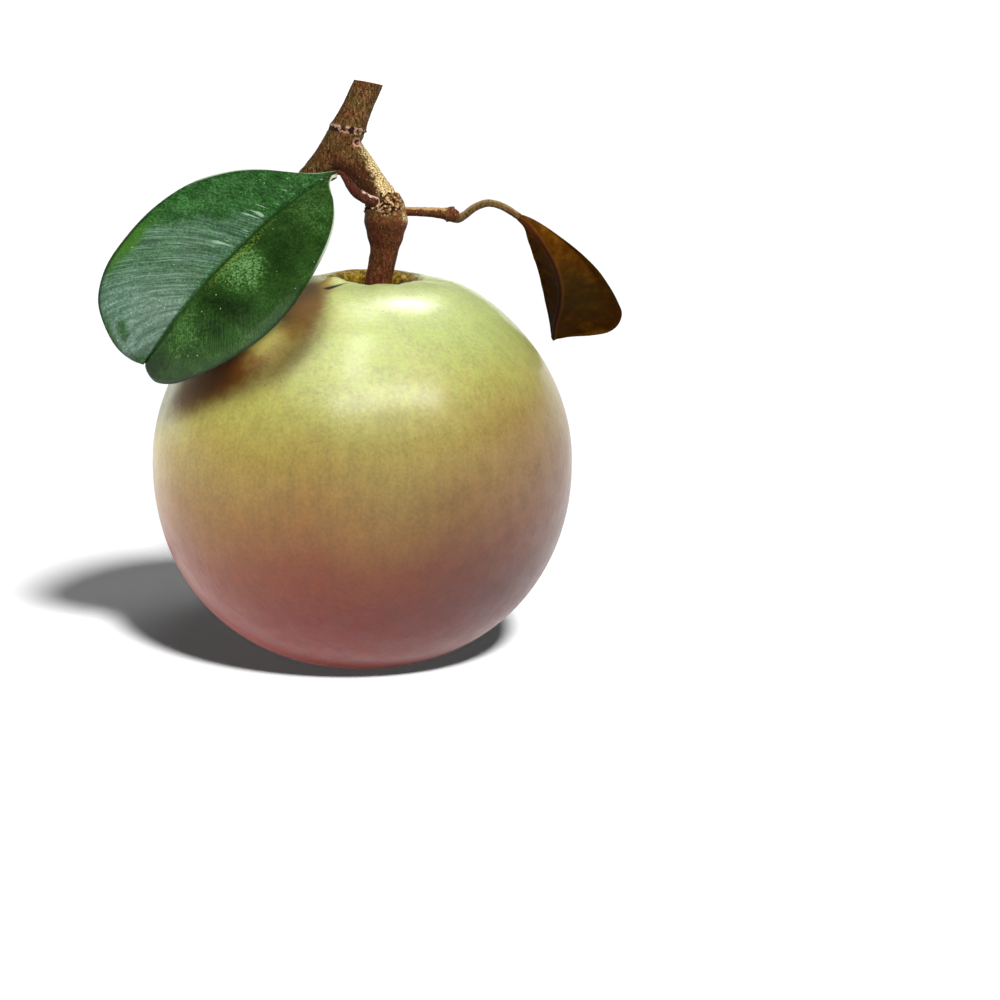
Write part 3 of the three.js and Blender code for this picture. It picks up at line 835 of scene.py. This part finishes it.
def scatter_scales(build, share, spread, depth, count, size, seed, slot):
    """Small rough scales set round the shoot or the stalk."""
    random = np.random.default_rng(seed)
    curve = Curve(SHOOT_AND_STALK)
    polar = np.linspace(0.02, math.pi - 0.02, 6)[:, None]
    ball = stack(np.sin(polar) * np.cos(turns(8)), np.sin(polar) * np.sin(turns(8)), np.cos(polar))
    for _ in range(count):
        place = np.array([share + random.uniform(-1, 1) * spread / curve.length])
        middle, side, other = limb_frame(curve, place)
        angle = random.uniform(0, 2 * math.pi)
        out = side[0] * math.cos(angle) + other[0] * math.sin(angle)
        centre = middle[0] + out * (curve.value(place)[0] - depth)
        shape = ball * size * random.uniform(0.5, 1.3, 3)
        shape = shape * (1 + 0.3 * perlin(ball * 1.5 + centre, seed))[..., None]
        build.grid(centre + shape, wrap=True, slot=slot, flip=True)


def press_scar(points):
    """A round scar with a raised lip and a pit."""
    distance = np.linalg.norm(points - np.array(ROUND_SCAR), axis=-1)
    lift = 0.16 * bump_at(distance, 0.75, 0.3) - 0.5 * bump_at(distance, 0, 0.45)
    return points + np.array((0.0, -1.0, 0.2)) * lift[..., None]


def make_branch(bark, cut, scales):
    scars = [(9.6, 0.25, 0.18, 1.05), (10.3, 0.3, -0.14, 1.05), (21.5, 0.5, 0.1, 0)]
    relief = bark_relief(1, wrinkle=0.06, lump=0.1, scars=scars)
    branch = tilt_end(limb_points(BRANCH, relief, 240, 110), (0.19, 0, 0.98), 30)
    shoot_end = SHOOT_SHARE + JOINT_GAP / Curve(SHOOT_AND_STALK).length
    relief = bark_relief(2, wrinkle=0.09, scars=[(11.6, 0.5, 0.2, 0)])
    shoot = limb_points(SHOOT_AND_STALK, relief, 110, 84, end=shoot_end)
    build = Build()
    build.limb(press_scar(branch), dome=0.1, cap_slot=1)
    build.limb(press_scar(shoot), ends=(-1,))
    build.limb(limb_points(WEB, bark_relief(4, wrinkle=0.08), 60, 60), rings=3)
    scatter_scales(build, 0.352, 0.7, 0.1, 110, 0.36, seed=5, slot=2)
    build.make("branch_wood", [bark, cut, scales], "branch", "branch_bark")


def make_stalk(bark, scales):
    relief = bark_relief(3, lump=0.16, scars=[(13.0, 0.4, 0.2, 0), (14.2, 0.5, 0.15, 0)])
    build = Build().limb(limb_points(SHOOT_AND_STALK, relief, 190, 96, start=SHOOT_SHARE))
    scatter_scales(build, 0.40, 0.9, 0.12, 130, 0.38, seed=8, slot=1)
    build.make("fruit_stalk_wood", [bark, scales], "fruit_stalk", "stalk_bark")


def make_spur(bark):
    scars = [(1.2, 0.4, 0.2, 0), (10.2, 0.3, 0.2, 0)]
    spur = limb_points(SPUR, bark_relief(6, wrinkle=0.05, lump=0.06, scars=scars), 120, 48)
    build = Build().limb(spur, ends=(-1,), dome=0.25, uv=limb_uv(spur, SPUR_TOP))
    build.limb(limb_points(BUD, bark_relief(7), 20, 24), rings=3)
    build.make("leaf_spur_wood", [bark], "leaf_spur", "twig_bark")


def scale_look():
    """Crumbly scales at the joints: cream, brown and nearly black, each of one tone."""
    look = Look("joint_scales", Specular_IOR_Level=0.2)
    colour = look.ramp(look.tones(1900)[0], [(0.34, 16, 8, 5), (0.44, 86, 53, 32), (0.56, 190, 160, 116)])
    rough = look.span(look.noise(3000, 3), 0.3, 0.7, 0.7, 0.9)
    normal = look.bump(look.noise(3600, 3, 0.7), 0.0002, 0.8)
    return look.set(Base_Color=colour, Roughness=rough, Normal=normal)


def make_wood():
    scales = scale_look()
    brown = ((36, 20, 8), (68, 45, 20), (120, 88, 54))
    red = ((50, 22, 12), (73, 36, 19), (105, 63, 37))
    twig = ((44, 22, 13), (80, 43, 24), (122, 79, 50))
    make_branch(bark_look("branch_bark", brown, 1.3, 0.35, branch_marks), cut_look(), scales)
    make_stalk(bark_look("stalk_bark", red, 1.0, 0.1, knob_marks), scales)
    make_spur(bark_look("twig_bark", twig, 1.0, 0.1, painted_highlight_edge(0.02, 0.86, (200, 164, 112), 0.6)))


# ---- Calyx ----


def make_calyx():
    look = Look("dried_calyx")
    fibres = look.noise(1600, 3, 0.6)
    colour = look.ramp(fibres, [(0.3, 62, 40, 18), (0.7, 132, 100, 54)])
    look.set(Base_Color=colour, Roughness=0.85, Normal=look.bump(fibres, 0.0002, 0.7))

    inner = SHOOT_AND_STALK[-1][3] + JOINT_GAP
    foot = np.array([HOLLOW_SHIFT, 0, FRUIT_HEIGHT - HOLLOW_DEPTH + JOINT_GAP])
    build = Build()
    s = np.linspace(0, 1, 24)[:, None]
    t = np.linspace(-1, 1, 21)[None, :]
    outline = np.sqrt(np.clip(1 - (2 * s * 0.98 - 0.96) ** 2, 0.02, 1))
    outline = np.maximum(outline, np.where(s < 0.5, 0.8, 0))
    across = t * outline * SEPAL_WIDTH / 2
    out = inner + 0.1 + s * SEPAL_LENGTH * 0.72
    edge = np.sqrt(np.clip(1 - t**2, 0, 1)) * np.sqrt(np.clip(1 - s**6, 0, 1))
    for i in range(SEPAL_COUNT):
        turn = (i + 0.25) / SEPAL_COUNT * 2 * math.pi
        rise = 0.15 + 2.4 * s**1.4 + 0.25 * (across / 1.6) ** 2
        rise = rise + 0.15 * perlin(stack(s * 4, t * 2, i), i)
        x = out * math.cos(turn) - across * math.sin(turn)
        y = out * math.sin(turn) + across * math.cos(turn)
        for side, flip in ((0.18, False), (-0.18, True)):
            build.grid(stack(x, y, rise + side * edge) + foot, flip=flip)
    build.make("calyx_sepals", [look.material], "calyx", "dried_calyx")


# ---- Leaves ----

BLADE_ROWS = 300
BLADE_COLUMNS = 121
BLADE_THICKNESS = 0.42
BLADE_EDGE = 0.16
BLADE_ARCH = 0.7
CREASE = 0.035
VEINS = 58
VEIN_LEAN = 0.13
# Places on the right half of an upper face (u, v, length, width, and how much lighter) and the
# tones from dark to light
RIGHT_HALF_PATCHES = [
    (0.41, 0.50, 0.11, 0.28, -0.16), (0.67, 0.42, 0.10, 0.34, -0.17), (0.54, 0.25, 0.08, 0.30, 0.36),
    (0.80, 0.36, 0.10, 0.30, 0.12), (0.18, 0.45, 0.20, 0.60, 0.10), (0.96, 0.55, 0.08, 0.50, -0.14),
]
RIGHT_HALF_TONES = [
    (0.1, 8, 20, 5), (0.3, 22, 44, 12), (0.5, 34, 62, 20), (0.7, 58, 92, 42), (0.95, 92, 128, 80),
]


def vein_phase(u, v):
    """Counts the side veins: whole numbers lie on veins."""
    return (u - VEIN_LEAN * np.abs(v) - 0.02 * v**2) * VEINS


def blade_surface(leaf, seed):
    """Middle surface of a blade, its upper normals, widths and parameters."""
    u = np.linspace(0, 1, BLADE_ROWS)
    v = np.linspace(-1, 1, BLADE_COLUMNS)[None, :]
    mid, left, right = (Curve(leaf[key]) for key in ("midrib", "left", "right"))
    middle, tangent = mid.at(u), mid.tangent(u)
    to_left, to_right = left.at(u) - middle, right.at(u) - middle
    share_left, share_right = ((x + np.sqrt(x * x + CREASE**2)) / 2 for x in (-v, v))
    spread = share_left[..., None] * to_left[:, None] + share_right[..., None] * to_right[:, None]
    up_left = unit(np.cross(to_left, tangent)) * leaf["top"]
    up_right = unit(np.cross(tangent, to_right)) * leaf["top"]
    up = unit(lerp(up_left[:, None], up_right[:, None], smoothstep(-0.12, 0.12, v)[..., None]))

    widths = (np.linalg.norm(side, axis=1)[:, None] for side in (to_left, to_right))
    width = np.where(v < 0, *widths)
    out = np.abs(v)
    u = u[:, None]
    arch = BLADE_ARCH * 4 * out * (1 - out) * np.minimum(width / 12, 1)
    waves = 0.5 * fractal(stack(u * 5, 1.6 * v, 0.0), 2, seed) * np.minimum(width / 10, 1) * (0.25 + out**2)
    roll = -0.5 * smoothstep(0.86, 1.0, out) * np.minimum(width / 8, 1)
    return u, v, middle[:, None] + spread + up * (arch + waves + roll)[..., None], up, width


def blade_relief(u, v, width, seed):
    """Height of the upper face over the plain blade, in millimetres: groove and side veins."""
    out = np.abs(v)
    groove = -0.28 * bump_at(out * width, 0, 0.32) + 0.10 * bump_at(out * width, 0.75, 0.3)
    place = stack(u * 7, 2.5 * v, 0.0)
    phase = vein_phase(u, v) + 0.35 * fractal(place, 2, seed + 5)
    veins = (0.5 + 0.5 * np.cos(2 * math.pi * phase)) ** 2
    fade = smoothstep(0.0, 0.06, out) * (1 - smoothstep(0.86, 0.97, out))
    fade = fade * smoothstep(0.0, 0.05, u) * (1 - smoothstep(0.93, 1.0, u))
    strength = 0.6 + 0.4 * fractal(place * 0.7, 2, seed + 7)
    return groove + 0.075 * (veins - 0.5) * fade * strength


def rim(grid):
    """A grid's outer points or values, once round."""
    return np.vstack([grid[:, 0], grid[-1, 1:], grid[-2::-1, -1], grid[0, -2:0:-1]])


def make_leaf(name, leaf, seed, node, slot, looks):
    u, v, middle, up, width = blade_surface(leaf, seed)
    out = np.abs(v)
    thickness = lerp(BLADE_THICKNESS, BLADE_EDGE, smoothstep(0.6, 1.0, out)) * np.ones_like(width)
    relief = blade_relief(u, v, width, seed)
    rib = lerp(0.62, 0.2, u) * bump_at(out * width, 0, lerp(0.75, 0.35, u))
    upper = middle + up * (thickness / 2 + relief)[..., None]
    lower = middle - up * (thickness / 2 + rib - 0.4 * relief)[..., None]
    uv = stack(u, 0.5 + 0.5 * v)
    turn = leaf["top"] > 0
    build = Build()
    build.grid(upper, uv=uv, slot=0, flip=not turn)
    build.grid(lower, uv=uv, slot=1, flip=turn)
    edge, edge_uv = np.stack([rim(lower), rim(upper)]), np.stack([rim(uv), rim(uv)])
    build.grid(edge, wrap=True, uv=edge_uv, slot=0, flip=not turn)
    petiole = limb_points(leaf["petiole"], bark_relief(seed, wrinkle=0.03, lump=0.04), 110, 36)
    build.limb(petiole, rings=3, slot=2, cap_slot=2, uv=limb_uv(petiole, leaf["petiole_top"]))
    build.make(name, looks, node, slot)


class BladeLook(Look):
    """A blade's face from its UVs: u runs from the stalk to the tip, v across from -1 to 1."""

    def __init__(self, name, **inputs):
        super().__init__(name, **inputs)
        self.u, across, _ = self.xyz(self.uv)
        self.v = across * 2.0 - 1.0
        self.out = abs(self.v)

    def along_veins(self):
        """Counts the side veins along the leaf."""
        return (self.u + self.ragged(0.03, 90, 2) - self.out * VEIN_LEAN) * VEINS

    def vein_lines(self):
        """Fine side veins at a slant, two to each fold that is modelled."""
        return self.span(self.math("COSINE", self.along_veins() * (4 * math.pi)), 0.0, 1.0)

    def streaks(self, across=1.6, along=2.2, detail=3):
        """Uneven streaks that run with the side veins, from 0 to 1."""
        return self.noise(1.0, detail, 0.6, self.combine(self.along_veins() * across, self.v * along))

    def patch(self, u, v, long, wide, ragged=1.4):
        """A soft round patch."""
        square = ((self.u - u) / long) ** 2.0 + ((self.v - v) / wide) ** 2.0
        return self.span(square + self.ragged(ragged, 300, 4, 0.6), 1.7, -0.2)

    def bloom(self):
        """A grey-green reflection painted on the left half as sheen, faint in the middle and full towards
        the tip.
        """
        ragged = self.ragged(0.2, 210, 4, 0.6)
        mask = self.span(self.u - self.out * 0.30 + ragged, 0.29, 0.36)
        full = self.span(self.u + ragged, 0.66, 0.80, 0.42, 1.0)
        mask = mask * full * self.span(self.v, -0.02, -0.05)
        strip = 1.0 - self.patch(0.64, -0.96, 0.09, 0.14, 0.8)
        blotch = 1.0 - self.patch(0.87, -0.72, 0.035, 0.11, 0.8)
        outer = self.span(self.out, 0.86, 0.94) * self.span(self.u, 0.80, 0.86)
        return mask * strip * blotch * (1.0 - outer) * self.span(self.u, 0.965, 0.93)

    def specks(self, scale, share):
        """Small dots, of which only a share are kept."""
        kept = self.span(self.tones(scale)[0], 1 - share, 1.04 - share)
        return self.span(self.cells(scale), 0.16, 0.08) * kept


def right_half(look, fine):
    """Lighter and darker places on the right half, and a gold-green highlight painted beside the rib."""
    cloudy = look.noise(260, 4, 0.65) - 0.5
    level = (fine - 0.5) * 0.7 + cloudy * 0.7 + 0.42
    grainy = look.span(fine, 0.3, 0.7, 0.3, 1.7)
    for u, v, long, wide, lift in RIGHT_HALF_PATCHES:
        shown = look.patch(u, v, long, wide) * lift
        level = level + (shown * grainy if lift > 0 else shown)
    # painted highlight beside the rib
    gold_highlight = look.patch(0.50, 0.05, 0.17, 0.09) * look.span(fine, 0.45, 0.6)
    return look.ramp(level, RIGHT_HALF_TONES).tint(gold_highlight * 0.6, 94, 112, 40)


def add_painted_sheen(look, colour, fine, streaks, bloom):
    """The painted sheen with streaks along the side veins, dark hatching, pale hatching painted as glinting
    veins, and glints painted by the rib.
    """
    tones = ((44, 70, 50), (74, 100, 82), (112, 136, 122))
    colour = look.mix(bloom, colour, look.ramp(streaks * 0.5 + fine * 0.5, spread_stops(0.5, 0.14, tones)))
    left = look.span(look.v, 0.0, -0.05)
    dark = look.span(look.streaks(1.5, 1.5), 0.46, 0.38) * left
    colour = colour.tint(dark * look.span(look.out, 0.75, 0.45) * 0.5, 26, 50, 26)
    hatch = look.streaks(3.0, 1.6)
    middle = look.span(bloom, 0.05, 0.35) * look.span(look.u, 0.84, 0.7)
    colour = colour.tint(look.span(hatch, 0.46, 0.38) * middle * 0.55, 28, 54, 36)
    # pale hatching: painted highlights on the side veins
    colour = colour.tint(look.span(hatch, 0.54, 0.64) * middle * 0.4, 122, 150, 132)
    # painted glints beside the rib
    painted_glints = look.span(look.streaks(1.1, 3.0, 2), 0.60, 0.68) * left
    by_rib = look.span(look.out, 0.45, 0.15) * look.span(look.u, 0.62, 0.5)
    return colour.tint(painted_glints * by_rib, 126, 156, 128)


def add_margins(look, colour):
    """The midrib, specks, a dark rim towards the tip and a pale rim painted as a highlight towards the
    stalk.
    """
    colour = colour.tint(look.span(look.out, 0.022, 0.006) * 0.85, 18, 38, 12)
    colour = colour.tint(look.specks(1200, 0.09) * 0.7, 176, 200, 140)
    rim = look.span(look.out, 0.955, 0.985) * look.span(look.u, 0.36, 0.56, 0.0, 0.8)
    colour = colour.tint(rim, 16, 32, 10)
    # painted highlight along the margin and base towards the stalk
    rim_highlight = look.span(look.out, 0.965, 0.99) * look.span(look.u, 0.42, 0.3)
    base = look.span(look.out, 0.8, 0.97) * look.span(look.u, 0.11, 0.05)
    return colour.tint(look.math("MAXIMUM", rim_highlight * 0.7, base), 190, 204, 176)


def green_face_look():
    """Glossy green upper face."""
    look = BladeLook("leaf_upper_face", Specular_IOR_Level=0.3, Coat_Roughness=0.16)
    fine = look.noise(2300, 3, 0.65)
    tones = ((16, 40, 12), (33, 70, 28), (60, 106, 54))
    colour = look.ramp(look.noise(420, 3, 0.6) * 0.35 + fine * 0.65, spread_stops(0.5, 0.14, tones))
    colour = look.mix(look.span(look.v, -0.02, 0.03), colour, right_half(look, fine))
    colour = colour.tint(look.patch(0.64, -0.94, 0.09, 0.14, 0.8) * 0.7, 56, 96, 26)
    streaks = look.streaks()
    bloom = look.bloom()
    colour = add_margins(look, add_painted_sheen(look, colour, fine, streaks, bloom))
    normal = look.bump(look.vein_lines(), 0.00006, 0.5)
    normal = look.bump(streaks, 0.0002, 0.6, normal)
    normal = look.bump(look.noise(2600, 3, 0.6), 0.00006, 0.6, normal)
    rough = look.span(look.noise(700, 3, 0.6), 0.3, 0.7, 0.28, 0.40)
    coat = look.span(bloom, 0.0, 1.0, 0.12, 0.4)
    return look.set(Base_Color=colour, Roughness=rough, Coat_Weight=coat, Normal=normal)


def copper_face_look():
    """Dull coppery brown under face with short silky hairs."""
    look = BladeLook("leaf_under_face", Specular_IOR_Level=0.02)
    lines = look.vein_lines()
    mottle = look.noise(380, 4, 0.6)
    colour = look.ramp(mottle, [(0.3, 58, 31, 3), (0.5, 83, 48, 6), (0.72, 110, 69, 14)])
    colour = colour.tint(lines * 0.15, 78, 50, 24)
    colour = colour.tint(look.patch(0.55, 0.3, 0.2, 0.5) * 0.4, 58, 52, 22)
    colour = colour.tint(look.span(look.out, 0.10, 0.03) * 0.35, 96, 64, 32)
    colour = colour.tint(look.span(look.out, 0.04, 0.015) * 0.8, 66, 22, 14)
    colour = colour.tint(look.specks(1500, 0.1) * 0.4, 120, 86, 50)
    normal = look.bump(lines, 0.0001, 0.5)
    normal = look.bump(look.noise(3200, 3, 0.6), 0.00006, 0.7, normal)
    return look.set(Base_Color=colour, Roughness=look.span(mottle, 0.3, 0.7, 0.6, 0.75), Normal=normal)


def make_leaves():
    green = green_face_look()
    copper = copper_face_look()
    red = ((40, 18, 12), (66, 33, 22), (96, 58, 42))
    olive = ((48, 33, 16), (92, 70, 40), (134, 110, 70))
    left_stalk = bark_look("left_leaf_stalk", red, 0.8, 0.0, painted_highlight_edge(0.0, 0.34, (226, 188, 172), 0.8, 0.92))
    right_stalk = bark_look("right_leaf_stalk", olive, 0.7, 0.1, painted_highlight_edge(0.1, 0.9, (176, 150, 100), 0.4))
    make_leaf("left_leaf_blade", LEFT_LEAF, 11, "left_leaf", "green_leaf", [green, copper, left_stalk])
    looks = [green, copper, right_stalk]
    make_leaf("right_leaf_blade", RIGHT_LEAF, 23, "right_leaf", "copper_leaf", looks)


# ---- Studio ----

FLOOR_RADIUS = 2.6
FLOOR_BEND = 0.7
FLOOR_RINGS = 12
FLOOR_SIDES = 64
WORLD_LIGHT = 0.06


def make_floor():
    """A pale round floor that curves up into a low wall far from the fruit."""
    look = Look("studio_paper", Roughness=0.9, Base_Color=(0.97, 0.97, 0.97))
    bend = np.linspace(0.1, 1.5, FLOOR_RINGS)
    flat = np.linspace(0.01, FLOOR_RADIUS, FLOOR_RINGS)
    radius = np.r_[flat, FLOOR_RADIUS + FLOOR_BEND * np.sin(bend)][:, None]
    height = np.r_[0 * flat, FLOOR_BEND * (1 - np.cos(bend))][:, None]
    angle = turns(FLOOR_SIDES)
    points = stack(radius * np.cos(angle), radius * np.sin(angle), height)
    faces = grid_faces(2 * FLOOR_RINGS, FLOOR_SIDES, wrap=True)
    mesh = bpy.data.meshes.new("studio_floor")
    mesh.from_pydata(points.reshape(-1, 3).tolist(), [], faces.tolist())
    mesh.polygons.foreach_set("use_smooth", np.ones(len(faces), bool))
    mesh.materials.append(look.material)
    floor = bpy.data.objects.new("studio_floor", mesh)
    floor.visible_diffuse = False
    bpy.context.scene.collection.objects.link(floor)


# Lights: azimuth (0 is the front, 90 the right) and elevation, then power for the keys, and width
# and height in metres and power for the rest, and last what each one falls on. They hang one metre
# from the middle of the fruit, the spotlights further off. A light that falls on several groups is
# made once for each.
FRUIT = ("fruit",)
TWIG = ("wood", "leaves")
FLOOR = ("floor",)
KEYS = {
    "main_key": (15, 38, 5.4, (*TWIG, *FLOOR)),
    "fruit_key": (2, 54, 4.2, FRUIT),
    "fruit_left": (-74, -42, 3.6, FRUIT),
    "wood_key": (78, 42, 2.0, ("wood",)),
    "wall_key": (220, -2, 5.0, FLOOR),
}
KEY_ANGLES = {"main_key": 7, "wood_key": 5, "wall_key": 1}
FILLS = {
    "fruit_fill": (70, 36, 0.6, 0.4, 4.6, FRUIT),
    "fruit_rim": (-136, -8, 0.5, 0.5, 10.0, FRUIT),
    "floor_top": (0, 85, 1.6, 1.6, 0.1, FLOOR),
    "floor_fill": (10, 60, 0.35, 0.35, 1.6, FLOOR),
    "leaf_fill": (-66, 6, 0.5, 0.2, 2.0, TWIG),
    "fruit_bounce": (16, -48, 1.0, 0.7, 2.3, FRUIT),
    "rest_bounce": (0, -50, 1.0, 0.7, 5.0, TWIG),
    "rear_fill": (195, 12, 0.6, 0.5, 5.5, TWIG),
}
GLOSS_PANELS = {
    "fruit_veil": (4, 66, 1.5, 0.75, 6.9, FRUIT),
    "fruit_band": (18, 47, 1.1, 0.22, 8.0, FRUIT),
    "fruit_strip": (-10, 72, 0.18, 0.6, 3.3, FRUIT),
    "fruit_back_strip": (180, 66, 0.14, 0.5, 1.5, FRUIT),
    "fruit_spot": (156, 57, 0.24, 0.24, 3.2, FRUIT),
    "leaf_sheen": (14, 28, 0.5, 0.7, 2.4, TWIG),
}
# Warm light between the left leaf's lower edge and the fruit, as lines under the edge: ends, width,
# power and colour
GLOWS = {
    "leaf_glow": ((-9.0, -29.0, 78.0), (-38.0, -29.0, 60.0), 9.0, 0.0011, (1.0, 0.24, 0.02)),
    "leaf_gap": ((-16.0, -24.2, 69.9), (-24.5, -28.0, 62.6), 2.0, 0.0005, (1.0, 0.82, 0.6)),
    "lip_glow": ((-9.0, -18.0, 76.0), (-12.0, -24.0, 73.0), 6.0, 0.0002, (1.0, 0.55, 0.3)),
}
GLOW_WAY = (0.2, 0.75, -0.6)
# Gobos: how two spotlights are kept off a part of the fruit or to a part of it, as under the left
# leaf. Each has an outline in millimetres across and up from the middle of the fruit's foot,
# clockwise as seen from the light, the light outside and inside it, and how soft its edge is at
# GOBO_TOP and for each step down from there
GOBO_TOP = 38
GOBO_DEPTH = 65
GOBO_SHARPEST = 0.3
GOBOS = {
    "fruit_key": (
        [(-9, 50), (-7.6, 38), (-7, 30), (-6.6, 26), (-7.2, 18), (-9.5, 13.3), (-15, 9.6), (-21, 9.2)]
        + [(-27, 11), (-32, 13.6), (-37, 19), (-46, 30), (-46, 52), (-9, 50)],
        (1.0, 0.0), (0.8, 0.055),
    ),
    "fruit_left": ([(-10, 60), (4, 61.9), (12, 61.9), (18, 61), (30, 56.6)], (0.0, 1.0), (0.9, 0.0)),
}
SPOT_DISTANCE = 4.0
SPOT_BEAM = 10
SPOT_RADIUS = 0.002


def lit_groups():
    """Collections for the lights: four that they fall on, and two that cast shade."""
    names = ("fruit", "wood", "leaves", "floor", "bare", "standing")
    groups = {name: bpy.data.collections.new("lights_" + name) for name in names}
    for piece in bpy.context.scene.objects:
        if piece.type != "MESH":
            continue
        kinds = ["leaves", "standing"]
        if piece.name.startswith(("fruit_skin", "calyx")):
            kinds[0] = "fruit"
        elif piece.name.endswith("_wood"):
            kinds[0] = "wood"
        elif piece.name == "studio_floor":
            kinds = ["floor"]
        if piece.name == "fruit_skin":
            kinds.append("bare")
        for kind in kinds:
            groups[kind].objects.link(piece)
    return groups


def light_way(azimuth, elevation):
    a, e = math.radians(azimuth), math.radians(elevation)
    return Vector((math.sin(a) * math.cos(e), -math.cos(a) * math.cos(e), math.sin(e)))


class Gobo(Look):
    """Lights a spotlight's beam by where it would cross a card in front of the fruit."""

    def __init__(self, light, rise, outline, levels, softness):
        light.use_nodes = True
        self.tree = light.node_tree
        x, y, z = self.xyz(self.result("Normal", "ShaderNodeTexCoord"))
        reach = SPOT_DISTANCE / MM - GOBO_DEPTH
        across = x / z * -reach
        up = y / z * -reach + rise
        edge = None
        for (x0, y0), (x1, y1) in zip(outline, outline[1:]):
            out = Vector((y0 - y1, x1 - x0)).normalized()
            far = across * out.x + up * out.y - (out.x * x0 + out.y * y0)
            edge = far if edge is None else self.math("MAXIMUM", edge, far)
        soft = (GOBO_TOP - up) * softness[1] + softness[0]
        soft = self.math("MAXIMUM", soft, GOBO_SHARPEST)
        outside, inside = levels
        lit = self.span(edge / soft, -1.0, 1.0, inside, outside)
        self.put(self.tree.nodes["Emission"].inputs["Strength"], lit)


def make_spot(name, power, elevation):
    """A spotlight as bright on the fruit as a sun of this power, with its gobo."""
    spot = bpy.data.lights.new(name, "SPOT")
    spot.energy = power * 4 * math.pi * SPOT_DISTANCE**2
    spot.spot_size = math.radians(SPOT_BEAM)
    spot.spot_blend = 0.0
    spot.shadow_soft_size = SPOT_RADIUS
    Gobo(spot, EQUATOR_HEIGHT * math.cos(math.radians(elevation)), *GOBOS[name])
    return spot


def make_sun(name, power):
    sun = bpy.data.lights.new(name, "SUN")
    sun.energy = power
    sun.angle = math.radians(KEY_ANGLES[name])
    return sun


def make_panel(name, width, height, power):
    light = bpy.data.lights.new(name, "AREA")
    light.shape = "RECTANGLE"
    light.size, light.size_y = width, height
    light.energy = power
    return light


def make_fill(name, width, height, power):
    light = make_panel(name, width, height, power)
    light.cycles.use_multiple_importance_sampling = False
    return light


def hang_light(light, azimuth, elevation, falls_on, blockers, hidden="glossy", distance=1.0):
    """Hangs a light round the fruit, turned to its middle, and hidden from one kind of ray."""
    lamp = bpy.data.objects.new(light.name, light)
    way = light_way(azimuth, elevation)
    lamp.location = Vector((0, 0, EQUATOR_HEIGHT * MM)) + way * distance
    lamp.rotation_euler = way.to_track_quat("Z", "Y").to_euler()
    lamp.visible_camera = False
    setattr(lamp, "visible_" + hidden, False)
    lamp.light_linking.receiver_collection = falls_on
    lamp.light_linking.blocker_collection = blockers
    bpy.context.scene.collection.objects.link(lamp)
    return lamp


def hang_key(name, azimuth, elevation, power, groups, group):
    """A key: a spotlight where it has a gobo, else a sun. On the fruit only its own skin shades it."""
    blockers = groups["bare" if group == "fruit" else "standing"]
    place = (azimuth, elevation, groups[group], blockers)
    if name in GOBOS:
        hang_light(make_spot(name, power, elevation), *place, distance=SPOT_DISTANCE)
    else:
        hang_light(make_sun(name, power), *place)


def hang_glow(name, falls_on, blockers):
    """A glow under the left leaf's edge: long side along the edge, facing the fruit."""
    start, end, width, power, colour = GLOWS[name]
    start, end = Vector(start), Vector(end)
    light = make_panel(name, (end - start).length * MM, width * MM, power)
    light.color = colour
    back = -Vector(GLOW_WAY).normalized()
    aside = (end - start).cross(back).normalized()
    lamp = hang_light(light, 0, 0, falls_on, blockers)
    lamp.location = (start + end) / 2 * MM
    lamp.rotation_euler = Matrix((back.cross(aside), aside, back)).transposed().to_euler()


def make_lights():
    """Keys and fills that model the forms, panels that show only as gloss, and the glows."""
    groups = lit_groups()
    for name, (azimuth, elevation, power, falls_on) in KEYS.items():
        for group in falls_on:
            hang_key(name, azimuth, elevation, power, groups, group)
    for table, make, hidden in ((FILLS, make_fill, "glossy"), (GLOSS_PANELS, make_panel, "diffuse")):
        for name, (azimuth, elevation, *size_and_power, falls_on) in table.items():
            for group in falls_on:
                light = make(name, *size_and_power)
                hang_light(light, azimuth, elevation, groups[group], groups["standing"], hidden)
    for name in GLOWS:
        hang_glow(name, groups["fruit"], groups["bare"])
    world = bpy.data.worlds.new("studio_world")
    world.use_nodes = True
    background = world.node_tree.nodes["Background"]
    background.inputs["Color"].default_value = (1, 1, 1, 1)
    background.inputs["Strength"].default_value = WORLD_LIGHT
    bpy.context.scene.world = world


CAMERA_ELEVATION = 9.0
CAMERA_DISTANCE = 532.22
CAMERA_CENTRE = (0.0, 0.0, 39.0)
CAMERA_AIM = (26.381, 0.0, -8.388)


def make_camera():
    camera = bpy.data.objects.new("camera", bpy.data.cameras.new("camera"))
    camera.data.lens = 100
    camera.data.sensor_width = 36
    camera.data.clip_start = 0.01
    camera.data.clip_end = 20
    e = math.radians(CAMERA_ELEVATION)
    centre = Vector(CAMERA_CENTRE)
    place = centre + CAMERA_DISTANCE * Vector((0, -math.cos(e), math.sin(e)))
    way = centre + Vector(CAMERA_AIM) - place
    camera.location = place * MM
    camera.rotation_euler = way.to_track_quat("-Z", "Y").to_euler()
    bpy.context.scene.collection.objects.link(camera)
    bpy.context.scene.camera = camera
    bpy.context.scene.view_settings.view_transform = "Standard"


make_camera()
make_fruit()
make_wood()
make_calyx()
make_leaves()
make_floor()
make_lights()
